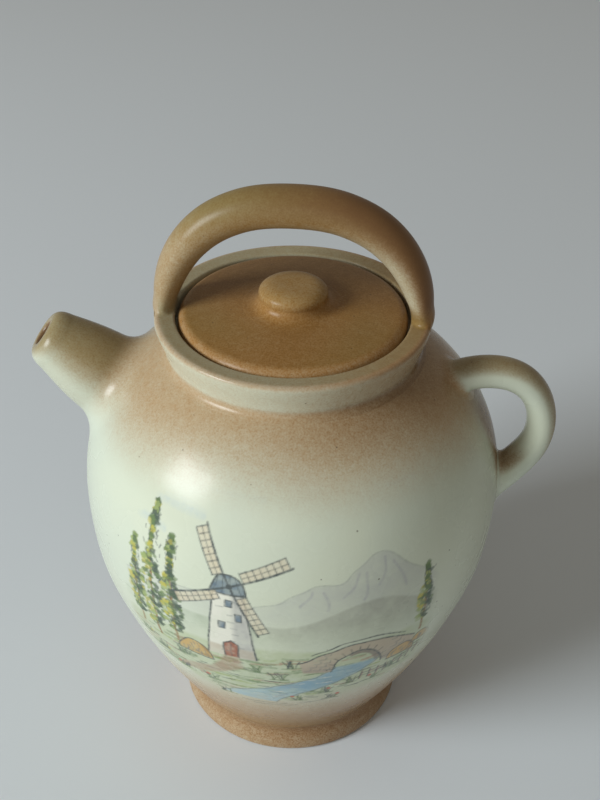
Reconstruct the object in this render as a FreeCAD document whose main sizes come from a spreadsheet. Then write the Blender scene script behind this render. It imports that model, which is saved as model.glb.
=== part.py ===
import FreeCAD, Part
import math
import os
import Sketcher

# Lidded stoneware jug with a pouring spout, a side handle and a hoop handle over the lid.
# The origin is the centre of the foot's resting face, +Z is up,
# the spout points to -X and the side handle stands at +X.

doc = FreeCAD.newDocument("lidded_jug")
sheet = doc.addObject("Spreadsheet::Sheet", "sizes")

# Driving dimensions in millimetres, angles in degrees
driving_sizes = {
    # body wall
    "waist_radius": 55.9,
    "belly_radius": 99.9,
    "shoulder_height": 219.4,
    "body_wall": 6.0,
    "floor_lift": 9.0,
    "floor_thickness": 8.0,
    "floor_rounding": 11.0,
    # foot ring
    "foot_height": 14.0,
    "foot_flare": 3.0,
    "foot_width": 12.4,
    "foot_rounding": 2.6,
    "foot_bore_rounding": 1.6,
    # collar with the ledge that carries the lid
    "rim_radius": 62.0,
    "rim_rise": 17.1,
    "rim_flare": 3.9,
    "rim_width": 9.2,
    "rim_rounding": 2.4,
    "rim_dish": 0.4,
    "rim_inner_rounding": 1.4,
    "neck_land": 8.6,
    "ledge_depth": 7.0,
    "ledge_width": 7.0,
    "ledge_thickness": 5.6,
    # lid and its knob
    "lid_gap": 1.2,
    "lid_edge_height": 2.0,
    "lid_edge_drop": 0.7,
    "lid_shoulder": 4.8,
    "lid_dome_rise": 4.0,
    "lid_plate": 6.4,
    "lid_seat_width": 5.2,
    "lid_foot_rounding": 1.0,
    "knob_radius": 15.4,
    "knob_height": 10.2,
    "knob_undercut": 3.0,
    "knob_skirt": 2.6,
    # spout
    "spout_slope": 37.3,
    "spout_root_radius": 22.0,
    "spout_length": 52.4,
    "spout_tip_radius": 13.2,
    "spout_sunk": 12.0,
    "spout_bore_radius": 5.5,
    "spout_bore_length": 14.0,
    "spout_throat_wall": 7.5,
    "spout_lip_rounding": 5.0,
    "spout_mouth_rounding": 1.6,
    "spout_slip_fillet": 9.0,
    # side handle
    "handle_thickness": 13.4,
    "handle_width": 18.6,
    "handle_projection": 24.3,
    "handle_slip_fillet": 4.0,
    # hoop handle over the lid
    "hoop_rise": 67.6,
    "hoop_thickness": 18.5,
    "hoop_width": 19.2,
}


def fill_sheet():
    """Writes one row for each driving dimension, with its name as the alias."""
    for row, (alias, value) in enumerate(driving_sizes.items(), start=1):
        sheet.set(f"A{row}", alias)
        sheet.set(f"B{row}", str(value))
        sheet.setAlias(f"B{row}", alias)
    doc.recompute()


fill_sheet()


def size(expression):
    """The present value of an expression on the sheet, as a plain number."""
    result = sheet.evalExpression(expression)
    return float(getattr(result, "Value", result))


def origin_plane(body, role):
    return [part for part in body.Origin.OriginFeatures if part.Role == role][0]


def new_sketch(body, name, role):
    sketch = body.newObject("Sketcher::SketchObject", name)
    sketch.AttachmentSupport = [(origin_plane(body, role), "")]
    sketch.MapMode = "FlatFace"
    return sketch


def pin_point(sketch, geometry, position, point):
    """Holds one point of a sketch at two expressions of the sheet."""
    sides = (("DistanceX", point[0], -2), ("DistanceY", point[1], -1))
    for kind, expression, axis in sides:
        value = size(expression)
        if expression == "0":
            sketch.addConstraint(Sketcher.Constraint("PointOnObject", geometry, position, axis))
            continue
        if value < 0:
            ends = (geometry, position, -1, 1)
            expression = f"-({expression})"
        else:
            ends = (-1, 1, geometry, position)
        index = sketch.addConstraint(Sketcher.Constraint(kind, *ends, abs(value)))
        sketch.setExpression(f"Constraints[{index}]", expression)


def add_curve(sketch, poles, closed=False):
    """Adds a spline whose control points are all held by the sheet."""
    places = [FreeCAD.Vector(size(x), size(y), 0) for x, y in poles]
    degree = min(3, len(poles) - 1)
    curve = sketch.addGeometry(Part.BSplineCurve(places, None, None, closed, degree, None, False), False)
    weight = max(place.Length for place in places) / len(places)
    rings = [sketch.addGeometry(Part.Circle(place, FreeCAD.Vector(0, 0, 1), weight), True)
             for place in places]
    for ring in rings:
        sketch.addConstraint(Sketcher.Constraint("Weight", ring, 1.0))
    for index, ring in enumerate(rings):
        link = "InternalAlignment:Sketcher::BSplineControlPoint"
        sketch.addConstraint(Sketcher.Constraint(link, ring, 3, curve, index))
    return curve, rings


def draw_outline(sketch, outline):
    """Draws a closed outline: two points make a line, more make a curve through their ends."""
    drawn = []
    for points in outline:
        if len(points) == 2:
            start, end = (FreeCAD.Vector(size(x), size(y), 0) for x, y in points)
            drawn.append(sketch.addGeometry(Part.LineSegment(start, end), False))
            pin_point(sketch, drawn[-1], 1, points[0])
        else:
            curve, rings = add_curve(sketch, points)
            for ring, point in list(zip(rings, points))[:-1]:
                pin_point(sketch, ring, 3, point)
            drawn.append(curve)
    for index, geometry in enumerate(drawn):
        following = drawn[(index + 1) % len(drawn)]
        sketch.addConstraint(Sketcher.Constraint("Coincident", geometry, 2, following, 1))


def revolve(body, name, sketch, seam_opposite=False):
    """Turns a sketch about its own upright axis, with the seam in its plane or opposite it."""
    doc.recompute()
    turned = body.newObject("PartDesign::Revolution", name)
    turned.Profile = sketch
    turned.ReferenceAxis = (sketch, ["V_Axis"])
    turned.Angle = 360.0
    turned.Midplane = seam_opposite
    return turned


def turned_body(name, outline):
    """A body with one turned feature, as thrown on the wheel."""
    body = doc.addObject("PartDesign::Body", name)
    sketch = new_sketch(body, f"{name}_outline", "XZ_Plane")
    draw_outline(sketch, outline)
    revolve(body, f"{name}_turned", sketch)
    doc.recompute()
    return body


# Lengths that several pieces share, each built up from the driving sizes
foot_radius = "(sizes.waist_radius + sizes.foot_flare)"
foot_bore_radius = "(sizes.waist_radius + sizes.foot_flare - sizes.foot_width)"
floor_top = "(sizes.floor_lift + sizes.floor_thickness)"
body_rise = "(sizes.shoulder_height - sizes.foot_height)"
neck_radius = "(sizes.rim_radius - sizes.rim_flare)"
neck_inner = "(sizes.rim_radius - sizes.rim_flare - sizes.neck_land)"
rim_height = "(sizes.shoulder_height + sizes.rim_rise)"
seat_height = "(sizes.shoulder_height + sizes.rim_rise - sizes.ledge_depth)"
seat_radius = "(sizes.rim_radius - sizes.rim_width)"
lid_radius = "(sizes.rim_radius - sizes.rim_width - sizes.lid_gap)"
lid_edge_top = "(sizes.shoulder_height + sizes.rim_rise - sizes.lid_edge_drop)"
lid_crown = "(sizes.shoulder_height + sizes.rim_rise - sizes.lid_edge_drop + sizes.lid_dome_rise)"
knob_neck_radius = "(sizes.knob_radius - sizes.knob_undercut)"
knob_skirt_radius = "(sizes.knob_radius + sizes.knob_skirt)"
handle_reach = "(sizes.belly_radius + sizes.handle_projection)"
hoop_inset_share = 0.326
hoop_span = f"(sizes.rim_radius - sizes.rim_width * {hoop_inset_share})"
waist = ("sizes.waist_radius", "sizes.foot_height")
shoulder = (neck_radius, "sizes.shoulder_height")

# The egg-shaped flank: control points as shares of the belly radius and of the height
# between waist and shoulder, then the direction in which the wall lies at that point.
flank_shares = [
    (0.787, 0.194, 0.86, -0.42),
    (0.941, 0.414, 0.97, -0.22),
    (1.018, 0.540, 1.00, 0.00),
    (1.001, 0.872, 0.86, 0.52),
]


def flank(radial, rise, outward, upward, depth):
    """A control point of the flank, taken inwards by a depth of wall."""
    radius = f"sizes.belly_radius * {radial} - {depth} * {outward}"
    height = f"sizes.foot_height + {body_rise} * {rise} - {depth} * {upward}"
    return (radius, height)


outer_flank = [waist] + [flank(*row, "0") for row in flank_shares] + [shoulder]
inner_waist = ("sizes.waist_radius - sizes.body_wall", f"{floor_top} + sizes.floor_rounding")
inner_flank = [(neck_inner, "sizes.shoulder_height")]
inner_flank += [flank(*row, "sizes.body_wall") for row in reversed(flank_shares)]
inner_flank += [inner_waist]


def make_body_wall():
    """The hollow body: floor, egg-shaped wall and the land under the collar."""
    floor_edge = ("sizes.waist_radius - sizes.body_wall - sizes.floor_rounding", floor_top)
    return turned_body("body_wall", [
        [("0", "sizes.floor_lift"), (foot_bore_radius, "sizes.floor_lift")],
        [(foot_bore_radius, "sizes.floor_lift"), (foot_bore_radius, "sizes.foot_height")],
        [(foot_bore_radius, "sizes.foot_height"), waist],
        outer_flank,
        [shoulder, (neck_inner, "sizes.shoulder_height")],
        inner_flank,
        [inner_waist, ("sizes.waist_radius - sizes.body_wall", floor_top), floor_edge],
        [floor_edge, ("0", floor_top)],
        [("0", floor_top), ("0", "sizes.floor_lift")],
    ])


def body_block_outline():
    """The body's outer shape with no hollow, for seating the luted pieces."""
    return [
        [("0", "sizes.foot_height"), waist],
        outer_flank,
        [shoulder, ("0", "sizes.shoulder_height")],
        [("0", "sizes.shoulder_height"), ("0", "sizes.foot_height")],
    ]


# The flared side of the foot: heights as shares of its own, and how far the top tucks in
foot_side_share = 0.45
foot_top_share = 0.75
foot_tuck_share = 0.2


def make_foot_ring():
    """The flared ring that the jug stands on."""
    bore_edge = (foot_bore_radius, "sizes.foot_bore_rounding")
    bore_foot = (f"{foot_bore_radius} + sizes.foot_bore_rounding", "0")
    outer_foot = (f"{foot_radius} - sizes.foot_rounding", "0")
    flare_start = (foot_radius, "sizes.foot_rounding")
    return turned_body("foot_ring", [
        [bore_foot, outer_foot],
        [outer_foot, (foot_radius, "0"), flare_start],
        [flare_start,
         (foot_radius, f"sizes.foot_height * {foot_side_share}"),
         (f"sizes.waist_radius + sizes.foot_rounding * {foot_tuck_share}",
          f"sizes.foot_height * {foot_top_share}"),
         waist],
        [waist, (foot_bore_radius, "sizes.foot_height")],
        [(foot_bore_radius, "sizes.foot_height"), bore_edge],
        [bore_edge, (foot_bore_radius, "0"), bore_foot],
    ])


# The collar's outside, from the shoulder up to the rim: shares of its flare and of its rise
collar_side_shares = [(0.05, 0.32), (0.75, 0.62)]
ledge_nose_share = 0.3
ledge_foot_share = 0.75


def make_collar():
    """The upright collar: flared outside, with a rounded rim and a ledge inside for the lid."""
    side = [(f"{neck_radius} + sizes.rim_flare * {out}", f"sizes.shoulder_height + sizes.rim_rise * {up}")
            for out, up in collar_side_shares]
    lip_low = ("sizes.rim_radius", f"{rim_height} - sizes.rim_rounding")
    lip_top = ("sizes.rim_radius - sizes.rim_rounding", rim_height)
    inner_edge = f"{seat_radius} + sizes.rim_inner_rounding"
    inner_top = (inner_edge, f"{rim_height} - sizes.rim_dish")
    inner_low = (seat_radius, f"{rim_height} - sizes.rim_dish - sizes.rim_inner_rounding")
    ledge_edge = f"({seat_radius} - sizes.ledge_width)"
    ledge_low = f"({seat_height} - sizes.ledge_thickness)"
    ledge_foot = f"sizes.shoulder_height + ({ledge_low} - sizes.shoulder_height) * {ledge_foot_share}"
    nose = f"sizes.ledge_thickness * {ledge_nose_share}"
    ledge_start = (f"{ledge_edge} + {nose}", seat_height)
    ledge_nose = (ledge_edge, f"{seat_height} - {nose}")
    return turned_body("collar", [
        [shoulder, *side, lip_low],
        [lip_low, ("sizes.rim_radius", rim_height), lip_top],
        [lip_top, inner_top],
        [inner_top, (seat_radius, f"{rim_height} - sizes.rim_dish"), inner_low],
        [inner_low, (seat_radius, seat_height)],
        [(seat_radius, seat_height), ledge_start],
        [ledge_start, (ledge_edge, seat_height), ledge_nose],
        [ledge_nose,
         (ledge_edge, ledge_low),
         (neck_inner, ledge_foot),
         (neck_inner, "sizes.shoulder_height")],
        [(neck_inner, "sizes.shoulder_height"), shoulder],
    ])


# The lid's curves: control points as shares of the radius, of the dome's rise and of the shoulder
lid_crown_share = 0.3
lid_slope_share = 0.6
lid_fall_share = 0.25
lid_edge_share = 0.1
lid_hollow_shares = (0.45, 0.8)


def make_lid():
    """The lid: a shallow dome, hollowed a little underneath, that drops into the collar."""
    seat_inner = f"({lid_radius} - sizes.lid_foot_rounding - sizes.lid_seat_width)"
    seat_outer = f"{lid_radius} - sizes.lid_foot_rounding"
    edge_low = (lid_radius, f"{seat_height} + sizes.lid_foot_rounding")
    edge_high = (lid_radius, f"{seat_height} + sizes.lid_edge_height")
    dome_edge = (f"{lid_radius} - sizes.lid_shoulder", lid_edge_top)
    hollow = f"({lid_crown} - sizes.lid_plate)"
    hollow_flat, hollow_side = (f"{seat_inner} * {share}" for share in lid_hollow_shares)
    return turned_body("lid", [
        [("0", hollow), (hollow_flat, hollow), (hollow_side, seat_height), (seat_inner, seat_height)],
        [(seat_inner, seat_height), (seat_outer, seat_height)],
        [(seat_outer, seat_height), (lid_radius, seat_height), edge_low],
        [edge_low, edge_high],
        [edge_high, (lid_radius, f"{lid_edge_top} - sizes.lid_shoulder * {lid_edge_share}"), dome_edge],
        [dome_edge,
         (f"{lid_radius} * {lid_slope_share}", f"{lid_crown} - sizes.lid_dome_rise * {lid_fall_share}"),
         (f"{lid_radius} * {lid_crown_share}", lid_crown),
         ("0", lid_crown)],
        [("0", lid_crown), ("0", hollow)],
    ])


# The knob's side, from its worked-down skirt to the crown: shares of its height and its radii
knob_skirt_shares = {"sunk": 0.5, "edge": 0.12, "spread": 1.12, "rise": 0.04}
knob_neck_shares = {"waist": 0.30, "waist_end": 0.38, "swell": 0.36, "side": 0.58}
knob_cap_shares = {"shoulder": 0.78, "edge_out": 0.84, "edge_up": 0.9, "slope": 0.6, "crown": 0.3}


def knob_level(share):
    """A height on the knob, as a share of its own above the lid's crown."""
    return f"{lid_crown} + sizes.knob_height * {share}"


def make_lid_knob(lid):
    """The low round knob, with its skirt of clay worked down onto the lid."""
    skirt, neck_shape, cap = knob_skirt_shares, knob_neck_shares, knob_cap_shares
    sunk = f"({lid_crown} - sizes.lid_plate * {skirt['sunk']})"
    skirt_foot = (knob_skirt_radius, sunk)
    skirt_edge = (knob_skirt_radius, f"{lid_crown} - sizes.lid_dome_rise * {skirt['edge']}")
    skirt_slope = (f"{knob_neck_radius} * {skirt['spread']}", knob_level(skirt["rise"]))
    neck = (knob_neck_radius, knob_level(neck_shape["waist"]))
    neck_top = (knob_neck_radius, knob_level(neck_shape["waist_end"]))
    swell = ("sizes.knob_radius", knob_level(neck_shape["swell"]))
    side = ("sizes.knob_radius", knob_level(neck_shape["side"]))
    cap_side = ("sizes.knob_radius", knob_level(cap["shoulder"]))
    cap_edge = (f"sizes.knob_radius * {cap['edge_out']}", knob_level(cap["edge_up"]))
    top = f"({lid_crown} + sizes.knob_height)"
    cap_slope = (f"sizes.knob_radius * {cap['slope']}", top)
    cap_crown = (f"sizes.knob_radius * {cap['crown']}", top)
    blank = turned_body("knob_blank", [
        [("0", sunk), skirt_foot],
        [skirt_foot, skirt_edge],
        [skirt_edge, skirt_slope, neck],
        [neck, neck_top, swell, side],
        [side, cap_side, cap_edge],
        [cap_edge, cap_slope, cap_crown, ("0", top)],
        [("0", top), ("0", sunk)],
    ])
    return cut("lid_knob", blank, lid)


def cut(name, base, tool):
    """Takes one object's shape out of another."""
    result = doc.addObject("Part::Cut", name)
    result.Base = base
    result.Tool = tool
    doc.recompute()
    return result


def lean_sketch(sketch, x_expression, y_expression, angle_expression, axis):
    """Moves a sketch off its origin plane and leans it about one of its own axes."""
    sketch.AttachmentOffset = FreeCAD.Placement(FreeCAD.Vector(), FreeCAD.Rotation(axis, 1.0))
    sketch.setExpression("AttachmentOffset.Base.x", x_expression)
    sketch.setExpression("AttachmentOffset.Base.y", y_expression)
    sketch.setExpression("AttachmentOffset.Rotation.Angle", angle_expression)


# Where the spout's axis starts: out from the jug's axis as a share of the belly radius,
# and up from the waist as a share of the body's rise
spout_out_share = 0.75976
spout_up_share = 0.838364


def spout_sketch(body, name, outline):
    """A sketch whose upright axis is the spout's own axis, starting at the spout's root."""
    sketch = new_sketch(body, name, "XZ_Plane")
    lean_sketch(sketch, f"-sizes.belly_radius * {spout_out_share}",
                f"sizes.foot_height + {body_rise} * {spout_up_share}",
                "90 - sizes.spout_slope", FreeCAD.Vector(0, 0, 1))
    draw_outline(sketch, outline)
    return sketch


def body_block(name):
    """A new body that starts with the jug's solid outer shape."""
    body = doc.addObject("PartDesign::Body", name)
    sketch = new_sketch(body, f"{name}_outline", "YZ_Plane")
    draw_outline(sketch, body_block_outline())
    revolve(body, f"{name}_turned", sketch)
    doc.recompute()
    return body


# How near a point counts as on the wall, as a share of the wall's thickness,
# and which point of an edge is tried, as a share of its length
touch_share = 0.001
edge_point_share = 0.3


def root_edges(body, block):
    """The edges where a luted piece meets the jug's outer wall, away from the wall's own edges."""
    wall = max(block.Shape.Faces, key=lambda face: face.Area)
    near = size("sizes.body_wall") * touch_share
    low = size("sizes.foot_height") + near
    high = size("sizes.shoulder_height") - near
    names = []
    for number, edge in enumerate(body.Shape.Edges, start=1):
        run = edge.LastParameter - edge.FirstParameter
        point = edge.valueAt(edge.FirstParameter + run * edge_point_share)
        on_wall = wall.distToShape(Part.Vertex(point))[0] < near
        if on_wall and abs(point.y) > near and low < point.z < high:
            names.append(f"Edge{number}")
    return names


def slip_fillet(body, block, radius_expression):
    """Rounds a piece's root onto the wall, as the potter does with slip."""
    doc.recompute()
    united = body.Tip
    fillet = body.newObject("PartDesign::Fillet", f"{body.Name}_slip")
    fillet.Base = (united, root_edges(body, block))
    fillet.setExpression("Radius", radius_expression)
    doc.recompute()
    return fillet


spout_lip_share = 0.8


def make_spout(block):
    """The tapered spout, rounded at its lip and blended into the shoulder."""
    form = body_block("spout_form")
    taper = "(sizes.spout_root_radius - sizes.spout_tip_radius) / sizes.spout_length"
    root_radius = f"sizes.spout_root_radius + {taper} * sizes.spout_sunk"
    lip_radius = f"sizes.spout_tip_radius + {taper} * sizes.spout_lip_rounding"
    lip_side = (lip_radius, "sizes.spout_length - sizes.spout_lip_rounding")
    lip_face_radius = f"sizes.spout_tip_radius - sizes.spout_lip_rounding * {spout_lip_share}"
    lip_face = (lip_face_radius, "sizes.spout_length")
    sketch = spout_sketch(form, "spout_outline", [
        [("0", "-sizes.spout_sunk"), (root_radius, "-sizes.spout_sunk")],
        [(root_radius, "-sizes.spout_sunk"), lip_side],
        [lip_side, ("sizes.spout_tip_radius", "sizes.spout_length"), lip_face],
        [lip_face, ("0", "sizes.spout_length")],
        [("0", "sizes.spout_length"), ("0", "-sizes.spout_sunk")],
    ])
    revolve(form, "spout_turned", sketch)
    slip_fillet(form, block, "sizes.spout_slip_fillet")
    return cut("spout_solid", form, block)


def make_passage():
    """The way through the spout: a straight mouth that widens to the hole in the wall."""
    body = doc.addObject("PartDesign::Body", "spout_passage")
    inner_end = "-(sizes.spout_sunk + sizes.body_wall * 2)"
    bore_start = "sizes.spout_length - sizes.spout_bore_length"
    throat = "(sizes.spout_root_radius - sizes.spout_throat_wall)"
    mouth_low = ("sizes.spout_bore_radius", "sizes.spout_length - sizes.spout_mouth_rounding")
    mouth_edge = "sizes.spout_bore_radius + sizes.spout_mouth_rounding"
    past_tip = "sizes.spout_length + sizes.spout_mouth_rounding"
    sketch = spout_sketch(body, "passage_outline", [
        [("0", inner_end), (throat, inner_end)],
        [(throat, inner_end), (throat, "0")],
        [(throat, "0"), ("sizes.spout_bore_radius", bore_start)],
        [("sizes.spout_bore_radius", bore_start), mouth_low],
        [mouth_low, ("sizes.spout_bore_radius", "sizes.spout_length"), (mouth_edge, "sizes.spout_length")],
        [(mouth_edge, "sizes.spout_length"), (mouth_edge, past_tip)],
        [(mouth_edge, past_tip), ("0", past_tip)],
        [("0", past_tip), ("0", inner_end)],
    ])
    revolve(body, "passage_turned", sketch, seam_opposite=True)
    doc.recompute()
    return body


SIDEWAYS = FreeCAD.Vector(0, 1, 0)
# The oval section of a pulled handle: control points around it, as shares of its half sizes
oval_shares = [
    (1.11, 0),
    (0.81, 0.81),
    (0, 1.11),
    (-0.81, 0.81),
    (-1.11, 0),
    (-0.81, -0.81),
    (0, -1.11),
    (0.81, -0.81),
]


def draw_oval(sketch, thickness, width, share=1.0):
    """Draws the oval section, thick along the sketch's x and wide along its y."""
    poles = []
    for across, along in oval_shares:
        x = f"{thickness} / 2 * {share} * {across}" if across else "0"
        y = f"{width} / 2 * {along}" if along else "0"
        poles.append((x, y))
    curve, rings = add_curve(sketch, poles, closed=True)
    for ring, point in zip(rings, poles):
        pin_point(sketch, ring, 3, point)


def section_sketch(body, name, place, tilt, thickness, width):
    """An oval section that stands square to a handle's centre line in the XZ plane."""
    sketch = new_sketch(body, name, "XY_Plane")
    sketch.AttachmentOffset = FreeCAD.Placement(FreeCAD.Vector(), FreeCAD.Rotation(SIDEWAYS, 1.0))
    sketch.setExpression("AttachmentOffset.Base.x", place[0])
    sketch.setExpression("AttachmentOffset.Base.z", place[1])
    sketch.setExpression("AttachmentOffset.Rotation.Angle", tilt)
    draw_oval(sketch, thickness, width)
    return sketch


# The side handle's low root and top, as shares of the body's rise from the waist
handle_low_share = 0.5959
handle_top_share = 0.9533
# Its centre line: control points as shares of its reach from the axis and of its own height,
# from the shoulder root over the top and down to the belly root.
handle_path_shares = [
    (0.553, 0.871),
    (0.674, 0.997),
    (0.845, 1.033),
    (0.986, 0.835),
    (1.020, 0.519),
    (0.930, 0.327),
    (0.762, 0.000),
]


def make_side_handle(block):
    """The small loop handle: one oval strap from the shoulder down to the belly."""
    form = body_block("side_handle_form")
    path = new_sketch(form, "handle_path", "XZ_Plane")
    low = f"(sizes.foot_height + {body_rise} * {handle_low_share})"
    tall = f"({body_rise} * {handle_top_share - handle_low_share:.4f})"
    reach = f"({handle_reach} - sizes.handle_thickness / 2)"
    poles = [(f"{reach} * {out}", f"{low} + {tall} * {rise}")
             for out, rise in handle_path_shares]
    curve, rings = add_curve(path, poles)
    for ring, point in zip(rings, poles):
        pin_point(path, ring, 3, point)
    first, second = poles[0], poles[1]
    tilt = f"atan2({second[0]} - {first[0]}; {second[1]} - ({first[1]}))"
    section = section_sketch(form, "handle_section", first, tilt,
                             "sizes.handle_thickness", "sizes.handle_width")
    doc.recompute()
    strap = form.newObject("PartDesign::AdditivePipe", "handle_strap")
    strap.Profile = section
    strap.Spine = path
    slip_fillet(form, block, "sizes.handle_slip_fillet")
    return cut("side_handle", form, block)


# Stations of the hoop from its root to the top: the angle round the arch in degrees
# and the share of the full thickness there.
hoop_stations = [
    (12.0, 0.565),
    (15.5, 0.575),
    (21.0, 0.680),
    (31.0, 0.810),
    (43.0, 0.900),
    (56.0, 0.960),
    (72.0, 0.990),
    (90.0, 1.000),
]
# The roots, drawn down over the rim: share of the half span, share of the rise from
# the shoulder to the rim, and share of the full thickness.
hoop_root_shares = [
    (0.942, 0.45, 0.290),
    (0.976, 0.78, 0.500),
]
hoop_squareness_share = 2.34
level_share = 0.000001


def hoop_section(form, name, side, across, height, tilt, share):
    """One station of the hoop, on the left side for -1 and on the right side for 1."""
    x = f"{hoop_span} * {side * across:.4f}"
    return section_sketch(form, name, (x, height), tilt,
                          f"sizes.hoop_thickness * {share}", "sizes.hoop_width")


def hoop_root(form, name, side, row):
    """A level section low in the hoop's root, which the collar cuts off."""
    across, up, share = row
    height = f"sizes.shoulder_height + sizes.rim_rise * {up}"
    tilt = "0" if side < 0 else "180"
    return hoop_section(form, name, side, across, height, tilt, share)


def hoop_arch_station(form, name, angle, thickness_share):
    """A station on the squared arch, from its angle counted from the left root."""
    power = 2 / hoop_squareness_share
    cosine = math.cos(math.radians(angle))
    sine = math.sin(math.radians(angle))
    across = math.copysign(abs(cosine) ** power, cosine)
    rise = sine ** power
    run_share = power * max(abs(cosine), level_share) ** (power - 1) * sine
    climb_share = power * sine ** (power - 1) * cosine
    height = f"sizes.shoulder_height + sizes.hoop_rise * {rise:.4f}"
    tilt = f"atan2({hoop_span} * {run_share:.5f}; sizes.hoop_rise * {climb_share:.5f})"
    return hoop_section(form, name, -1, across, height, tilt, thickness_share)


def make_hoop_handle(collar):
    """The hoop over the lid, thin where it is luted on the rim and stout at the top."""
    form = doc.addObject("PartDesign::Body", "hoop_form")
    sections = []
    for index, row in enumerate(hoop_root_shares):
        sections.append(hoop_root(form, f"hoop_left_root{index}", -1, row))
    for index, (angle, share) in enumerate(hoop_stations):
        sections.append(hoop_arch_station(form, f"hoop_left{index}", angle, share))
    for index, (angle, share) in reversed(list(enumerate(hoop_stations[:-1]))):
        sections.append(hoop_arch_station(form, f"hoop_right{index}", 180.0 - angle, share))
    for index, row in reversed(list(enumerate(hoop_root_shares))):
        sections.append(hoop_root(form, f"hoop_right_root{index}", 1, row))
    doc.recompute()
    bar = form.newObject("PartDesign::AdditiveLoft", "hoop_bar")
    bar.Profile = sections[0]
    bar.Sections = sections[1:]
    doc.recompute()
    return cut("hoop_handle", form, collar)


body_wall = make_body_wall()
block = body_block("body_block")
foot_ring = make_foot_ring()
collar = make_collar()
lid = make_lid()
lid_knob = make_lid_knob(lid)
spout_solid = make_spout(block)
passage = make_passage()
spout = cut("spout", spout_solid, passage)
body_shell = cut("body_shell", body_wall, passage)
side_handle = make_side_handle(block)
hoop_handle = make_hoop_handle(collar)

nodes = {
    "body_shell": body_shell,
    "foot_ring": foot_ring,
    "collar": collar,
    "spout": spout,
    "side_handle": side_handle,
    "hoop_handle": hoop_handle,
    "lid": lid,
    "lid_knob": lid_knob,
}


def check_document():
    """Stops the build if any feature failed or any piece isn't a sound solid."""
    failed = [thing.Name for thing in doc.Objects
              if "Invalid" in thing.State or "Error" in thing.State]
    if failed:
        raise RuntimeError(f"features failed: {failed}")
    for label, piece in nodes.items():
        if piece.Shape.isNull() or not piece.Shape.isValid() or not piece.Shape.Solids:
            raise RuntimeError(f"{label} is not a sound solid")


def write_parts():
    """Writes each piece to its own STEP file."""
    os.makedirs("parts", exist_ok=True)
    for label, piece in nodes.items():
        piece.Label = label
        piece.Shape.exportStep(f"parts/{label}.step")
        box = piece.Shape.BoundBox
        print(f"{label}: {len(piece.Shape.Solids)} solid, {piece.Shape.Volume / 1000:.1f} cm3, "
              f"x {box.XMin:.1f} to {box.XMax:.1f}, y {box.YMin:.1f} to {box.YMax:.1f}, "
              f"z {box.ZMin:.1f} to {box.ZMax:.1f}")


doc.recompute()
check_document()
write_parts()
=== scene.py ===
import math
from random import Random

import bmesh
import bpy
import numpy as np
from mathutils import Matrix, Vector


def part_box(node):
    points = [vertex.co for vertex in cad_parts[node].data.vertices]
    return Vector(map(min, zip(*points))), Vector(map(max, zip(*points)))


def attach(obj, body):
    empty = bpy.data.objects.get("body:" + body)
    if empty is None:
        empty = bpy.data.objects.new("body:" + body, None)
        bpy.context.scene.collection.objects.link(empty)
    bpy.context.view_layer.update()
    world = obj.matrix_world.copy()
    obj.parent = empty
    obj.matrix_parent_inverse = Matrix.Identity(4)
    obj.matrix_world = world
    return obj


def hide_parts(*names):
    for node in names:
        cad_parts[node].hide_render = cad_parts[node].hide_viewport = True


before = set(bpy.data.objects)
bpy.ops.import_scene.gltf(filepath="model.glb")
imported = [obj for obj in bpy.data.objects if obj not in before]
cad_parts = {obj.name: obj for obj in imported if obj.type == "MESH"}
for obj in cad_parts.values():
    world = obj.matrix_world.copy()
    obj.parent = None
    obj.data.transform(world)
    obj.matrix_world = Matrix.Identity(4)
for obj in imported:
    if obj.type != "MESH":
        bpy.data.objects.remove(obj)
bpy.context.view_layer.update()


def addObject(name, data):
    thing = bpy.data.objects.new(name, data)
    bpy.context.collection.objects.link(thing)
    return thing


def aimed(place, target):
    place, target = Vector(place), Vector(target)
    return Matrix.Translation(place) @ (target - place).to_track_quat("-Z", "Y").to_matrix().to_4x4()


# Camera

camera = {
    "place": (0.0352, -0.4220, 0.4918),
    "target": (0.0000, 0.0471, 0.1525),
    "rollDegrees": 0.62,
    "lens": 49.5,
    "film": 36.0,
    "clipStart": 0.01,
}


def placeCamera(look):
    data = bpy.data.cameras.new("photoCamera")
    data.lens = look["lens"]
    data.sensor_width = look["film"]
    data.clip_start = look["clipStart"]
    eye = addObject("photoCamera", data)
    roll = Matrix.Rotation(math.radians(look["rollDegrees"]), 4, "Z")
    eye.matrix_world = aimed(look["place"], look["target"]) @ roll
    bpy.context.scene.camera = eye


placeCamera(camera)
print("camera placed")


# Clay and mesh helpers


# Points along the same kind of spline that the solids are drawn with
def splineCurve(poles, count):
    poles = np.array(poles, float)
    degree = min(3, len(poles) - 1)
    inner = np.linspace(0, 1, len(poles) - degree + 1)
    knots = np.concatenate([np.zeros(degree), inner, np.ones(degree)])
    along = np.linspace(0, 1 - 1e-9, count)
    weights = [((low <= along) & (along < high)).astype(float) for low, high in zip(knots, knots[1:])]
    for step in range(1, degree + 1):
        merged = []
        for index in range(len(weights) - 1):
            start, end = knots[index], knots[index + step + 1]
            rise, fall = knots[index + step] - start, end - knots[index + 1]
            left = (along - start) / rise * weights[index] if rise else 0
            right = (end - along) / fall * weights[index + 1] if fall else 0
            merged.append(left + right)
        weights = merged
    return np.stack(weights, 1) @ poles


# A line from a first point: a list goes on straight through its points, a tuple of a count and poles
# goes on as a curve
def drawLine(start, *steps):
    line = [start]
    for step in steps:
        if isinstance(step, tuple):
            count, *poles = step
            line.extend(splineCurve([line[-1], *poles], count)[1:-1])
            line.append(poles[-1])
        else:
            line.extend(step)
    return np.array(line, float)


def lineTravel(line):
    return np.concatenate([[0], np.cumsum(np.linalg.norm(np.diff(line, axis=0), axis=1))])


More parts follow.
